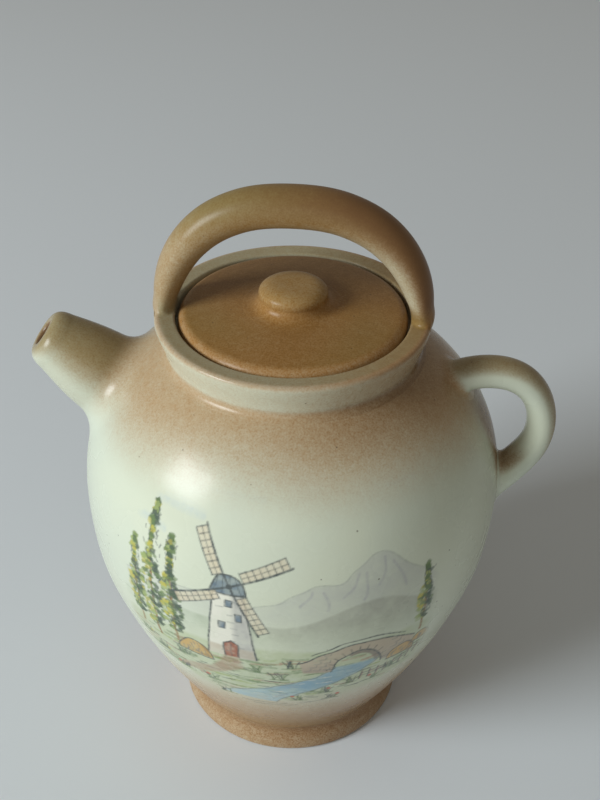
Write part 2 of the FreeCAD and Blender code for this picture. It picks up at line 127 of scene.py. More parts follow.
def evenPoints(line, count):
    line = np.array(line, float)
    travel = lineTravel(line)
    wanted = np.linspace(0, travel[-1], count)
    return np.stack([np.interp(wanted, travel, line[:, axis]) for axis in range(line.shape[1])], 1)


def unit(vectors):
    return vectors / np.maximum(np.linalg.norm(vectors, axis=-1, keepdims=True), 1e-12)


def ringAngles(columns):
    return np.linspace(0, 2 * math.pi, columns, endpoint=False)


# Rises from 0 to 1 between low and high, or falls where low is the larger
def smoothStep(low, high, value):
    share = np.clip((value - low) / (high - low), 0, 1)
    return share * share * (3 - 2 * share)


# Slow waves that every fired piece shares, so that touching pieces stay in touch
clayWaves = [
    ((34, 11, 23), 0.4, (0.00012, 0.00005, 0.00007)),
    ((-19, 41, 17), 1.9, (-0.00006, 0.00013, 0.00005)),
    ((48, -27, -36), 4.1, (0.00007, 0.00006, -0.00004)),
    ((9, 62, -51), 2.7, (0.00004, -0.00006, 0.00004)),
]


def handWork(points):
    moved = points.copy()
    standing = smoothStep(0.002, 0.03, points[..., 2])[..., None]
    for direction, phase, push in clayWaves:
        wave = np.sin(points @ np.array(direction, float) + phase)
        moved += wave[..., None] * np.array(push) * standing
    return moved


meshing = {
    "mergeWithin": 2e-6,
    "sharpDegrees": 52,
}


# Turns a grid of points into a mesh, closed round its columns and, if asked, its rows
def gridMesh(name, points, wrapRows, wrapColumns=True):
    points = handWork(points)
    rows, columns = points.shape[:2]
    numbers = np.arange(rows * columns).reshape(rows, columns)
    if wrapRows:
        numbers = np.vstack([numbers, numbers[:1]])
    if wrapColumns:
        numbers = np.hstack([numbers, numbers[:, :1]])
    quads = np.stack([numbers[:-1, :-1], numbers[:-1, 1:], numbers[1:, 1:], numbers[1:, :-1]], -1)
    mesh = bpy.data.meshes.new(name)
    mesh.from_pydata(points.reshape(-1, 3).tolist(), [], quads.reshape(-1, 4).tolist())
    work = bmesh.new()
    work.from_mesh(mesh)
    bmesh.ops.remove_doubles(work, verts=work.verts, dist=meshing["mergeWithin"])
    bmesh.ops.recalc_face_normals(work, faces=work.faces)
    work.to_mesh(mesh)
    work.free()
    mesh.shade_smooth()
    mesh.set_sharp_from_angle(angle=math.radians(meshing["sharpDegrees"]))
    return addObject(name, mesh)


# A closed outline of radius and height, thrown on the wheel; the steps end where they start
def turnPiece(name, columns, start, *steps):
    outline = drawLine(start, *steps)[:-1]
    angles = ringAngles(columns)
    radius, height = outline[:, :1], outline[:, 1:]
    grid = np.stack([radius * np.cos(angles), radius * np.sin(angles), np.repeat(height, columns, 1)], -1)
    return gridMesh(name, grid, wrapRows=True)


def meshValues(piece, name):
    flat = np.empty(len(piece.data.vertices) * 3)
    piece.data.vertices.foreach_get(name, flat)
    return flat.reshape(-1, 3)


def paintValue(piece, name, values):
    layer = piece.data.attributes.new(name, "FLOAT", "POINT")
    layer.data.foreach_set("value", np.clip(values, 0, 1).astype(np.float32))


luting = {
    "tuck": 0.00035,
    "tuckRun": 0.0012,
    "leastSlide": 0.3,
    "mostSlide": 2.0,
    "leastFall": 0.1,
}


# Where a luted piece is rubbed onto the wall: for lines that run outwards from inside the wall,
# a skirt from each line down onto the wall, lying along both
def lutedSkirt(lines, wall, rise, reach, rows):
    depth = wall["depth"](lines)
    pick = np.arange(len(lines))
    last = lines.shape[1] - 1 - np.argmax(depth[:, ::-1] <= 0, axis=1)
    last = np.clip(last, 0, lines.shape[1] - 2)
    low, high = depth[pick, last], depth[pick, last + 1]
    share = np.clip(low / (low - high + 1e-12), 0, 1)[:, None]
    root = lines[pick, last] * (1 - share) + lines[pick, last + 1] * share
    bodies = []
    for row in pick:
        rest = np.vstack([root[row], lines[row, last[row] + 1:]])
        travel = lineTravel(rest)
        first = [np.interp(rise, travel, values) for values in rest.T]
        bodies.append(np.vstack([first, rest[travel > rise]]))
    start = np.array([line[0] for line in bodies])
    ahead = unit(np.array([line[1] - line[0] for line in bodies]))
    spot, normal = wall["nearest"](root)
    away = root - root.mean(0)
    away = unit(away - (away * normal).sum(1)[:, None] * normal)
    foot, normal = wall["nearest"](spot + away * np.reshape(reach, (-1, 1)))
    fall = -(ahead * normal).sum(1)
    fall = np.where(np.abs(fall) < luting["leastFall"], -luting["leastFall"], fall)
    slide = ((foot - start) * normal).sum(1) / fall
    slide = np.clip(slide, luting["leastSlide"] * rise, luting["mostSlide"] * rise)[:, None]
    bend = start - ahead * slide
    skirt = [start * (1 - step) ** 2 + bend * 2 * step * (1 - step) + foot * step * step
             for step in np.linspace(0, 1, rows)[1:]]
    skirt.append(foot + away * luting["tuckRun"] - normal * luting["tuck"])
    return bodies, np.array(skirt)


# The wall that luted pieces sit on: an outline of radius and height, turned about the axis
def turnedWall(outline):
    line = evenPoints(outline, 2400)
    run = unit(np.gradient(line, axis=0))
    side = np.stack([run[:, 1], -run[:, 0]], 1)

    def nearest(points):
        flat = points.reshape(-1, 3)
        radius = np.hypot(flat[:, 0], flat[:, 1])
        gap = (radius[:, None] - line[None, :, 0]) ** 2 + (flat[:, 2, None] - line[None, :, 1]) ** 2
        best = gap.argmin(1)
        turned = flat[:, :2] / radius[:, None]
        found = [np.column_stack([turned * row[best, :1], row[best, 1]]) for row in (line, side)]
        return [row.reshape(points.shape) for row in found]

    def depth(points):
        spot, normal = nearest(points)
        return ((points - spot) * normal).sum(-1)

    return {"nearest": nearest, "depth": depth}


lowest, highest = ({node: Vector(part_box(node)[end]) for node in ("body_shell", "foot_ring", "collar", "lid")}
                   for end in (0, 1))
waistHeight = highest["foot_ring"].z
shoulderHeight = highest["body_shell"].z
rimHeight = highest["collar"].z
rimRadius = highest["collar"].x
lidRadius = highest["lid"].x
lidBase = lowest["lid"].z


# Body

bodyForm = {
    "waistRadius": 0.0559,
    "bellyRadius": 0.09985,
    "neckRadius": 0.0581,
    "neckLand": 0.0086,
    "wall": 0.006,
    "footBore": 0.0465,
    "floorTop": 0.017,
    "floorRounding": 0.011,
    "flank": [(0.787, 0.194), (0.941, 0.414), (1.018, 0.540), (1.001, 0.872)],  # shares of belly and height
    "lie": [(0.86, -0.42), (0.97, -0.22), (1.00, 0.00), (0.86, 0.52)],  # which way the wall faces there
    "flankRows": 150,
    "columns": 320,
}


def flankPoles(form, depth):
    rise = shoulderHeight - waistHeight
    return [(form["bellyRadius"] * out - depth * outward, waistHeight + rise * up - depth * upward)
            for (out, up), (outward, upward) in zip(form["flank"], form["lie"])]


def flankLine(form, rows):
    waist, shoulder = (form["waistRadius"], waistHeight), (form["neckRadius"], shoulderHeight)
    return splineCurve([waist, *flankPoles(form, 0), shoulder], rows)


def makeBody(form):
    base, floor, bore = lowest["body_shell"].z, form["floorTop"], form["footBore"]
    neckInner = (form["neckRadius"] - form["neckLand"], shoulderHeight)
    innerWaist = (form["waistRadius"] - form["wall"], floor + form["floorRounding"])
    floorEdge = (innerWaist[0] - form["floorRounding"], floor)
    return turnPiece(
        "bodyWall", form["columns"], (0, base),
        [(bore * 0.5, base), (bore, base), (bore, waistHeight), (form["waistRadius"], waistHeight)],
        (form["flankRows"], *flankPoles(form, 0), (form["neckRadius"], shoulderHeight)),
        [neckInner],
        (60, *flankPoles(form, form["wall"])[::-1], innerWaist),
        (8, (innerWaist[0], floor), floorEdge),
        [(floorEdge[0] * 0.5, floor), (0, floor), (0, base)])


bodyWall = makeBody(bodyForm)
flankWall = turnedWall(flankLine(bodyForm, 600))
print("body turned")


# Foot ring

footForm = {
    "flare": 0.0030,
    "bore": 0.0465,
    "rounding": 0.0026,
    "boreRounding": 0.0016,
    "side": [(0.0, 0.30), (-0.0008, 0.55), (-0.0020, 0.78)],  # out from the flare, share of the height
    "waist": [(0.0002, 1.00), (0.0014, 1.25)],  # out from the body's waist, share of the height
    "slipTop": 0.0235,
    "tuck": (-0.0004, 0.0008),
    "columns": 320,
}


def makeFoot(form, body):
    waist, bore, bend, edge = body["waistRadius"], form["bore"], form["boreRounding"], form["rounding"]
    radius = waist + form["flare"]
    flank = flankLine(body, 600)
    slip = flank[np.argmin(np.abs(flank[:, 1] - form["slipTop"]))]
    side = [(radius + out, waistHeight * up) for out, up in form["side"]]
    hollow = [(waist + out, waistHeight * up) for out, up in form["waist"]]
    return turnPiece(
        "footRing", form["columns"], (bore, bend),
        (7, (bore, 0), (bore + bend, 0)),
        [(radius - edge, 0)],
        (9, (radius, 0), (radius, edge)),
        (8, *side[:2]),
        (26, side[2], *hollow, slip),
        [slip + np.array(form["tuck"]), (waist - 0.001, waistHeight), (bore, waistHeight), (bore, bend)])


footRing = makeFoot(footForm, bodyForm)
print("foot turned")


# Collar

collarForm = {
    "rimWidth": 0.0092,
    "rimRounding": 0.0024,
    "rimDish": 0.0004,
    "innerRounding": 0.0014,
    "ledgeDepth": 0.0070,
    "ledgeWidth": 0.0070,
    "ledgeThickness": 0.0056,
    "ledgeRounding": 0.3,
    "hollow": 0.0034,
    "side": [(0.05, 0.32), (0.75, 0.62)],
    "slipReach": (0.0024, 0.0018),
    "slipRise": 0.0026,
    "tuck": (0.0006, -0.0009),
    "columns": 360,
}


def collarSide(form, body):
    neck, rise = body["neckRadius"], rimHeight - shoulderHeight
    side = [(neck + (rimRadius - neck) * out, shoulderHeight + rise * up) for out, up in form["side"]]
    return splineCurve([(neck, shoulderHeight), *side, (rimRadius, rimHeight - form["rimRounding"])], 40)


def rimSteps(form):
    lip, inner = form["rimRounding"], form["innerRounding"]
    seat, dish = rimRadius - form["rimWidth"], rimHeight - form["rimDish"]
    return [(12, (rimRadius, rimHeight), (rimRadius - lip, rimHeight)), (6, (seat + inner, dish)),
            (8, (seat, dish), (seat, dish - inner))]


def makeCollar(form, body):
    neck, seat = body["neckRadius"], rimRadius - form["rimWidth"]
    seatHeight, ledge = rimHeight - form["ledgeDepth"], seat - form["ledgeWidth"]
    nose = form["ledgeThickness"] * form["ledgeRounding"]
    neckInner = neck - body["neckLand"]
    out, down = form["slipReach"]
    flank = flankLine(body, 2000)
    slip = flank[np.argmin(np.hypot(flank[:, 0] - neck - out, flank[:, 1] - shoulderHeight + down))]
    side = collarSide(form, body)
    first = np.argmin(np.abs(side[:, 1] - shoulderHeight - form["slipRise"]))
    tuck = slip + np.array(form["tuck"])
    return turnPiece(
        "collarRim", form["columns"], tuck, [slip],
        (10, (neck, shoulderHeight), side[first]),
        [*side[first + 1:-1], (rimRadius, rimHeight - form["rimRounding"])],
        *rimSteps(form),
        [(seat, seatHeight + 0.001), (seat, seatHeight), (ledge + nose, seatHeight)],
        (7, (ledge, seatHeight), (ledge, seatHeight - nose)),
        (16, (ledge, seatHeight - form["ledgeThickness"]), (neckInner, shoulderHeight + form["hollow"]),
         (neckInner, shoulderHeight)),
        [(neck - 0.001, shoulderHeight), tuck])


collarRim = makeCollar(collarForm, bodyForm)
print("collar turned")


# Lid and knob

lidForm = {
    "edgeHeight": 0.0020,
    "edgeDrop": -0.0010,
    "shoulder": 0.0048,
    "domeRise": 0.0025,
    "dome": [(0.6, 0.75), (0.3, 1.0), (0.0, 1.0)],  # shares of the radius and of the rise
    "plate": 0.0064,
    "seatWidth": 0.0052,
    "footRounding": 0.0010,
    "columns": 320,
}

lidEdge = rimHeight - lidForm["edgeDrop"]
lidCrown = lidEdge + lidForm["domeRise"]


def domePoles(form):
    dome = [(lidRadius * out, lidEdge + form["domeRise"] * up) for out, up in form["dome"]]
    return [(lidRadius - form["shoulder"], lidEdge), *dome]


def makeLid(form):
    seatOuter, foot = lidRadius - form["footRounding"], lidBase + form["footRounding"]
    seatInner = seatOuter - form["seatWidth"]
    hollow = lidCrown - form["plate"]
    return turnPiece(
        "lidDisc", form["columns"], (0, hollow),
        (20, (seatInner * 0.45, hollow), (seatInner * 0.8, lidBase), (seatInner, lidBase)),
        [(seatOuter, lidBase)],
        (6, (lidRadius, lidBase), (lidRadius, foot)),
        [(lidRadius, lidBase + form["edgeHeight"])],
        (18, (lidRadius, lidEdge - form["shoulder"] * 0.1), (lidRadius - form["shoulder"], lidEdge)),
        (60, *domePoles(form)[1:]),
        [(0, hollow)])


lidDisc = makeLid(lidForm)

knobForm = {
    "radius": 0.0154,
    "height": 0.0102,
    "neckRadius": 0.0152,
    "slipRadius": 0.0225,
    "slipRise": 0.36,
    "slipRun": 0.0036,
    "tuck": (0.0008, -0.0005),
    "crown": [(1.0, 0.70), (0.84, 0.90), (0.58, 1.0), (0.28, 1.0), (0.0, 1.0)],  # shares of radius and height
    "columns": 160,
}


def makeKnob(form, lid):
    neck, radius, reach = form["neckRadius"], form["radius"], form["slipRadius"]
    dome = splineCurve(domePoles(lid), 600)
    place = np.argmin(np.abs(dome[:, 0] - reach))
    slip = dome[place]
    follow = slip + unit(dome[place + 40] - slip) * form["slipRun"]
    sunk = lidCrown - lid["plate"] * 0.5

    def pole(out, up):
        return out, lidCrown + form["height"] * up

    return turnPiece(
        "lidKnob", form["columns"], (0, sunk), [(reach, sunk), slip + np.array(form["tuck"]), slip],
        (22, follow, pole(neck * 1.06, 0.04), pole(neck, form["slipRise"])),
        (14, pole(neck, 0.40), pole(radius, 0.46), pole(radius, 0.54)),
        (36, *[pole(radius * out, up) for out, up in form["crown"]]),
        [(0, sunk)])


lidKnob = makeKnob(knobForm, lidForm)
print("lid and knob turned")


# Spout

spoutForm = {
    "root": (-0.0759, 0.0, 0.1862),
    "slope": 37.3,
    "rootRadius": 0.0213,
    "length": 0.0524,
    "tipRadius": 0.0132,
    "sunk": 0.016,
    "belly": 0.0016,
    "bore": 0.0055,
    "boreLength": 0.0140,
    "throat": 0.0145,
    "throatSunk": 0.008,
    "lipRounding": 0.0078,
    "mouthLean": 0.08,
    "mouthRounding": 0.0023,
    "slipRise": 0.0092,
    "slipReach": 0.0112,
    "columns": 144,
}

spoutRoot = np.array(spoutForm["root"])
spoutSlope = math.radians(spoutForm["slope"])
spoutAlong = np.array([-math.cos(spoutSlope), 0, math.sin(spoutSlope)])


def spoutRings(form, reach, radius):
    angles = ringAngles(form["columns"])[:, None]
    over = np.array([math.sin(spoutSlope), 0, math.cos(spoutSlope)])
    ring = np.cos(angles) * over + np.sin(angles) * np.array([0, 1.0, 0])
    return (spoutRoot + reach[:, None] * spoutAlong)[:, None, :] + radius[:, None, None] * ring


def makeSpout(form):
    length, tip, bore, throat = form["length"], form["tipRadius"], form["bore"], form["throat"]
    sideEnd, boreEnd = length - form["lipRounding"], length - form["boreLength"]
    reach = np.linspace(-form["sunk"], sideEnd, 240)
    radius = form["rootRadius"] - (form["rootRadius"] - tip) / length * reach
    radius = radius + form["belly"] * np.sin(np.clip(reach / sideEnd, 0, 1) * math.pi)
    lines = spoutRings(form, reach, radius).transpose(1, 0, 2)
    bodies, skirt = lutedSkirt(lines, flankWall, form["slipRise"], form["slipReach"], 16)
    side = np.array([evenPoints(line, 44) for line in bodies]).transpose(1, 0, 2)
    rest = drawLine(
        (sideEnd, radius[-1]), (18, (length, tip), (length, tip - form["lipRounding"] * 0.66)),
        [(length, bore + form["mouthRounding"])], (8, (length, bore), (length - form["mouthRounding"], bore)),
        [(boreEnd, bore), (boreEnd * 0.5, (bore + throat) / 2), (0, throat),
         (-form["throatSunk"], throat)])[1:]
    grid = np.concatenate([skirt[::-1], side, spoutRings(form, rest[:, 0], rest[:, 1])])
    near = smoothStep(sideEnd * 0.5, sideEnd, (grid - spoutRoot) @ spoutAlong)
    grid = grid + (near * form["mouthLean"] * (grid[..., 1] - tip))[..., None] * spoutAlong
    return gridMesh("pouringSpout", grid, wrapRows=True)


pouringSpout = makeSpout(spoutForm)
print("spout luted")


# Straps: an oval bar along a line in the XZ plane


def strapLines(middle, thickness, width, columns):
    run = unit(np.gradient(middle, axis=0))
    angles = ringAngles(columns)
    over = np.cos(angles) * np.reshape(thickness, (-1, 1)) / 2
    wide = np.sin(angles) * width / 2
    across = middle[:, :1] - run[:, 1:] * over
    high = middle[:, 1:] + run[:, :1] * over
    return np.stack([across, wide * np.ones_like(across), high], -1).transpose(1, 0, 2)


# A strap with both ends rubbed onto a wall
def lutedStrap(name, lines, wall, rise, reach, rows):
    half = lines.shape[1] // 2
    heads, headSkirt = lutedSkirt(lines[:, :half + 1], wall, rise[0], reach[0], 12)
    tails, tailSkirt = lutedSkirt(lines[:, :half - 1:-1], wall, rise[1], reach[1], 12)
    bars = [evenPoints(np.vstack([head, tail[::-1][1:]]), rows) for head, tail in zip(heads, tails)]
    grid = np.concatenate([headSkirt[::-1], np.array(bars).transpose(1, 0, 2), tailSkirt])
    middles = [ring.mean(0) + (ring - ring.mean(0)) * share for ring in (grid[0], grid[-1])
               for share in (0.5, 0.0)]
    return gridMesh(name, np.concatenate([middles[1::-1], grid, middles[2:]]), wrapRows=False)


# Side handle

sideForm = {
    "thickness": 0.0136,
    "heel": 0.19,
    "heelFrom": (0.62, 0.92),
    "width": 0.0189,
    "reach": 0.1242,
    "low": 0.1364,
    "top": 0.2098,
    "line": [(0.553, 0.866), (0.674, 0.975), (0.850, 1.020), (0.984, 0.835), (1.017, 0.505), (0.942, 0.300),
             (0.762, -0.015)],
    "slipRise": (0.0050, 0.0060),
    "slipReach": (0.0042, 0.0055),
    "slipLobe": 0.0010,
    "columns": 64,
}


def makeSideHandle(form):
    out, tall = form["reach"] - form["thickness"] / 2, form["top"] - form["low"]
    poles = [(out * across, form["low"] + tall * up) for across, up in form["line"]]
    middle = evenPoints(splineCurve(poles, 500), 320)
    heel = form["heel"] * smoothStep(*form["heelFrom"], np.linspace(0, 1, len(middle)))
    thickness = form["thickness"] * (1 + heel)
    lines = strapLines(middle, thickness, form["width"], form["columns"])
    under = np.clip(-np.cos(ringAngles(form["columns"])), 0, 1)
    reach = (form["slipReach"][0] + form["slipLobe"] * under ** 2, form["slipReach"][1])
    return lutedStrap("sideHandle", lines, flankWall, form["slipRise"], reach, 110)


sideHandle = makeSideHandle(sideForm)
print("side handle luted")


# Hoop handle

hoopForm = {
    "span": 0.0590,
    "rise": 0.0674,
    "thickness": 0.0185,
    "width": 0.0195,
    "squareness": 2.34,
    "roots": [(0.942, 0.45, 0.290), (0.976, 0.78, 0.500)],  # shares of span, collar height and thickness
    "stations": [(12.0, 0.565), (15.5, 0.575), (21.0, 0.680), (31.0, 0.810), (43.0, 0.900), (56.0, 0.960),
                 (72.0, 0.990), (90.0, 1.000)],  # degrees up the arch, share of thickness
    "slipRise": (0.0030, 0.0030),
    "slipReach": 0.0022,
    "slipRun": 0.0036,
    "wallFoot": 0.0065,
    "columns": 64,
}


def hoopLine(form):
    collarRise, power = rimHeight - shoulderHeight, 2 / form["squareness"]
    stations = [(-form["span"] * across, shoulderHeight + collarRise * up, thick)
                for across, up, thick in form["roots"]]
    for angle, thick in form["stations"]:
        across = math.cos(math.radians(angle)) ** power if angle < 90 else 0.0
        up = math.sin(math.radians(angle)) ** power
        stations.append((-form["span"] * across, shoulderHeight + form["rise"] * up, thick))
    left = np.array(stations)
    return np.vstack([left, left[:-1][::-1] * np.array([-1, 1, 1])])


# A smooth line through every station
def throughPoints(points, count):
    travel = lineTravel(points[:, :2])
    slope = np.gradient(points, travel, axis=0)
    wanted = np.linspace(0, travel[-1], count)
    place = np.clip(np.searchsorted(travel, wanted, side="right") - 1, 0, len(points) - 2)
    gap = (travel[place + 1] - travel[place])[:, None]
    share = (wanted - travel[place])[:, None] / gap
    rest = 1 - share
    first = rest ** 2 * ((1 + 2 * share) * points[place] + share * gap * slope[place])
    second = share ** 2 * ((3 - 2 * share) * points[place + 1] - rest * gap * slope[place + 1])
    return first + second


def makeHoop(form, wall):
    smooth = throughPoints(hoopLine(form), 420)
    lines = strapLines(smooth[:, :2], smooth[:, 2] * form["thickness"], form["width"], form["columns"])
    outward = np.clip(np.cos(ringAngles(form["columns"])), 0, 1)
    reach = form["slipReach"] + form["slipRun"] * outward ** 2
    return lutedStrap("hoopHandle", lines, wall, form["slipRise"], (reach, reach), 150)


# The collar's outer face, over the rim and a little way down inside
def collarFace(form, body, inside):
    side = collarSide(form, body)
    line = drawLine(side[0], side[1:-1], [(rimRadius, rimHeight - form["rimRounding"])], *rimSteps(form))
    return np.vstack([line[:-1], [(rimRadius - form["rimWidth"], rimHeight - inside)]])


collarWall = turnedWall(collarFace(collarForm, bodyForm, hoopForm["wallFoot"]))
hoopHandle = makeHoop(hoopForm, collarWall)
print("hoop handle luted")


# Printed landscape on the front of the belly: a thin transfer laid on the wall and painted in millimetres,
# u along the wall to the right and v up it

printForm = {
    "halfTurn": 48.6,
    "low": 0.0500,
    "high": 0.2000,
    "columns": 300,
    "rows": 292,
    "lift": 0.00004,
    "tuck": 0.0006,
    "bakeMargin": 0.004,
    "ground": 10,
    "fadeSide": (82, 74),
    "fadeLow": (8, 15),
    "fadeHigh": (157, 150),
    "strength": 0.92,
    "seed": 19,
}

paints = {
    "ink": (62, 70, 74), "softInk": (104, 110, 112), "hill": (150, 148, 160), "hillWarm": (172, 160, 158),
    "sky": (168, 188, 200), "grass": (150, 166, 96), "moss": (96, 122, 76), "leaf": (86, 112, 58),
    "leafDark": (48, 72, 54), "leafGold": (188, 178, 62), "water": (104, 150, 178),
    "waterPale": (160, 190, 200), "stone": (186, 172, 150), "stoneShade": (132, 118, 108),
    "plaster": (226, 224, 210), "plasterShade": (168, 168, 164), "slate": (96, 116, 134),
    "brick": (152, 84, 60), "straw": (196, 160, 92), "strawShade": (140, 104, 58), "earth": (168, 134, 112),
    "poppy": (188, 74, 52),
}


# A fine grid over the wall, its border tucked just under the glaze
def makeSheet(form, body):
    flank = flankLine(body, 1200)
    line = evenPoints(flank[(flank[:, 1] > form["low"]) & (flank[:, 1] < form["high"])], form["rows"])
    run = unit(np.gradient(line, axis=0))
    turns = np.radians(np.linspace(-form["halfTurn"], form["halfTurn"], form["columns"]))
    across, up = np.arange(form["columns"]), np.arange(form["rows"])[:, None]
    border = np.minimum(np.minimum(across, across[::-1]), np.minimum(up, up[::-1]))
    raised = form["lift"] * (1.5 * smoothStep(2, 14, border) - 0.5) - form["tuck"] * smoothStep(2, 0, border)
    radius = line[:, :1] + run[:, 1:] * raised
    height = line[:, 1:] - run[:, :1] * raised
    grid = np.stack([radius * np.sin(turns), -radius * np.cos(turns), height], -1)
    sheet = gridMesh("landscapePrint", grid, wrapRows=False, wrapColumns=False)
    corners = np.empty(len(sheet.data.loops), np.int32)
    sheet.data.loops.foreach_get("vertex_index", corners)
    places = np.stack(np.broadcast_arrays(across / across[-1], up / up[-1]), -1).reshape(-1, 2)
    flat = sheet.data.uv_layers.new(name="OFBake")
    margin = form["bakeMargin"]
    flat.data.foreach_set("uv", (margin + (1 - 2 * margin) * places[corners]).ravel().astype(np.float32))
    return sheet, turns * body["bellyRadius"] * 1000, lineTravel(line) * 1000


# Smooth random cloth of values between 0 and 1, for washes that pool and dry unevenly
def washNoise(across, up, size, seed):
    lattice = np.random.default_rng(seed).random((80, 80))
    x, y = (across + 200) / size % 79, (up + 200) / size % 79
    column, row = x.astype(int), y.astype(int)
    right, above = smoothStep(0, 1, x - column), smoothStep(0, 1, y - row)[:, None]
    low, high = (lattice[line][:, column] * (1 - right) + lattice[line][:, column + 1] * right
                 for line in (row, row + 1))
    return low * (1 - above) + high * above


def newCanvas(across, up):
    shape = (len(up), len(across))
    pools = washNoise(across, up, 6.0, 3) * 0.6 + washNoise(across, up, 1.7, 5) * 0.4
    return {"u": across, "v": up, "colour": np.ones(shape + (3,)), "cover": np.zeros(shape),
            "pools": pools, "grit": washNoise(across, up, 1.1, 11)}


landscapePrint, printAcross, printUp = makeSheet(printForm, bodyForm)
canvas = newCanvas(printAcross, printUp - printForm["ground"])
hand = Random(printForm["seed"])
draw = hand.uniform


def pickPart(low, high, margin):
    columns = slice(*np.searchsorted(canvas["u"], (low[0] - margin, high[0] + margin)))
    rows = slice(*np.searchsorted(canvas["v"], (low[1] - margin, high[1] + margin)))
    return (rows, columns), *np.meshgrid(canvas["u"][columns], canvas["v"][rows])


def layPaint(part, mask, colour):
    shares = np.array(paints[colour]) / 255
    linear = np.where(shares <= 0.04045, shares / 12.92, ((shares + 0.055) / 1.055) ** 2.4)
    mask = np.clip(mask, 0, 1)
    under = canvas["cover"][part] * (1 - mask)
    mixed = linear * mask[..., None] + canvas["colour"][part] * under[..., None]
    canvas["colour"][part] = mixed / np.maximum(mask + under, 1e-6)[..., None]
    canvas["cover"][part] = mask + under


def lineDistance(across, up, points):
    best = np.full(across.shape, 1e9)
    for (x0, y0), (x1, y1) in zip(points, points[1:]):
        run = (x1 - x0) ** 2 + (y1 - y0) ** 2 + 1e-9
        share = np.clip(((across - x0) * (x1 - x0) + (up - y0) * (y1 - y0)) / run, 0, 1)
        best = np.minimum(best, np.hypot(across - x0 - share * (x1 - x0), up - y0 - share * (y1 - y0)))
    return best


def insideShape(across, up, points):
    inside = np.zeros(across.shape, bool)
    for (x0, y0), (x1, y1) in zip(points, points[1:] + points[:1]):
        inside ^= ((y0 > up) != (y1 > up)) & (across < (x1 - x0) * (up - y0) / (y1 - y0 + 1e-9) + x0)
    return inside


# A wash of colour inside a drawn shape, soft at its edge and pooled by the paper
def wash(points, colour, strength, soft=0.8, fade=None):
    part, across, up = pickPart(np.min(points, 0), np.max(points, 0), soft * 2)
    edge = lineDistance(across, up, points + points[:1])
    mask = np.clip(0.5 + np.where(insideShape(across, up, points), edge, -edge) / soft, 0, 1)
    mask *= strength * (0.55 + 0.9 * canvas["pools"][part])
    layPaint(part, mask * smoothStep(*fade, up) if fade else mask, colour)


def pen(points, width=0.75, colour="ink", strength=0.95, wander=0.3):
    part, across, up = pickPart(np.min(points, 0), np.max(points, 0), width * 2)
    if across.size:
        swing = wander * np.sin(across * 0.31 + up * 0.43)
        far = lineDistance(across + swing, up - swing, points)
        mask = np.clip(0.5 + (width / 2 - far) / 0.55, 0, 1) * strength
        layPaint(part, mask * (0.55 + 0.75 * canvas["grit"][part]), colour)


def dab(place, size, colour, strength, squash=0.8):
    part, across, up = pickPart(place, place, size * 1.4)
    if across.size:
        far = np.hypot(across - place[0], (up - place[1]) / squash) / size
        ragged = far + 0.55 * (canvas["grit"][part] - 0.5)
        layPaint(part, smoothStep(1.05, 0.65, ragged) * strength, colour)


def curve(points, count=24):
    return [tuple(point) for point in splineCurve(points, count)]


def arc(u, v, wide, tall, start, end, count):
    return [(u + wide * math.cos(turn), v + tall * math.sin(turn)) for turn in np.linspace(start, end, count)]


def paintClouds():
    for u, v, length in ((-46, 134, 26), (-20, 146, 30), (6, 150, 20), (-60, 122, 16), (64, 147, 18)):
        for streak in range(5):
            lift = draw(-2.4, 2.4)
            start = u - length / 2 + draw(0, 6)
            line = [(start, v + lift), (u, v + lift + draw(0, 2.5)), (u + length / 2, v + lift - 1)]
            pen(curve(line, 10), draw(2.4, 4.2), "sky", 0.07)


def paintHills():
    far = curve([(-74, 88), (-60, 95), (-48, 92), (-34, 98), (-14, 91), (4, 96), (18, 108), (30, 103),
                 (38, 114), (52, 120), (60, 106), (72, 100), (80, 92)], 60)
    wash(far + [(80, 62), (-74, 62)], "hill", 0.27, 1.4, (70, 104))
    pen(far[:58], 0.7, "softInk", 0.30)
    near = curve([(-78, 74), (-56, 84), (-36, 80), (-12, 84), (10, 80), (30, 92), (54, 96), (66, 84),
                  (80, 82)], 50)
    wash(near + [(80, 52), (-78, 52)], "moss", 0.26, 1.6, (58, 84))
    wash(near[20:] + [(80, 66), (0, 66)], "hillWarm", 0.25, 1.6, (64, 88))
    for u, v, right, up in ((38, 109, 31, 98), (41, 109, 40, 95), (50, 114, 47, 101), (54, 111, 60, 96),
                            (17, 103, 12, 95), (22, 102, 24, 92), (-34, 95, -40, 87)):
        pen(curve([(u, v), ((u + right) / 2 + 1.6, (v + up) / 2), (right, up)], 8), 1.3, "hill", 0.34)


def paintGround():
    shape = curve([(-80, 60), (-60, 66), (-30, 64), (0, 68), (30, 62), (60, 68), (80, 64)], 30)
    wash(shape + [(80, 30), (40, 14), (-30, 10), (-70, 34)], "grass", 0.36, 3.0, (8, 30))
    for blade in range(170):
        u, v = draw(-74, 76), draw(14, 60)
        if v < 10 + abs(u) * 0.28:
            continue
        half = draw(4, 13) / 2
        colour = hand.choice(["moss", "grass", "moss", "earth", "leaf"])
        line = [(u - half, v), (u, v + draw(-0.8, 1.2)), (u + half, v + draw(-1, 1))]
        pen(curve(line, 6), draw(0.8, 2.2), colour, draw(0.35, 0.75))
    for blade in range(60):
        u, v = draw(-70, 72), draw(14, 56)
        if v < 12 + abs(u) * 0.28:
            continue
        pen([(u, v), (u + draw(3, 8), v + draw(-0.6, 0.6))], 0.8, "ink", 0.8)


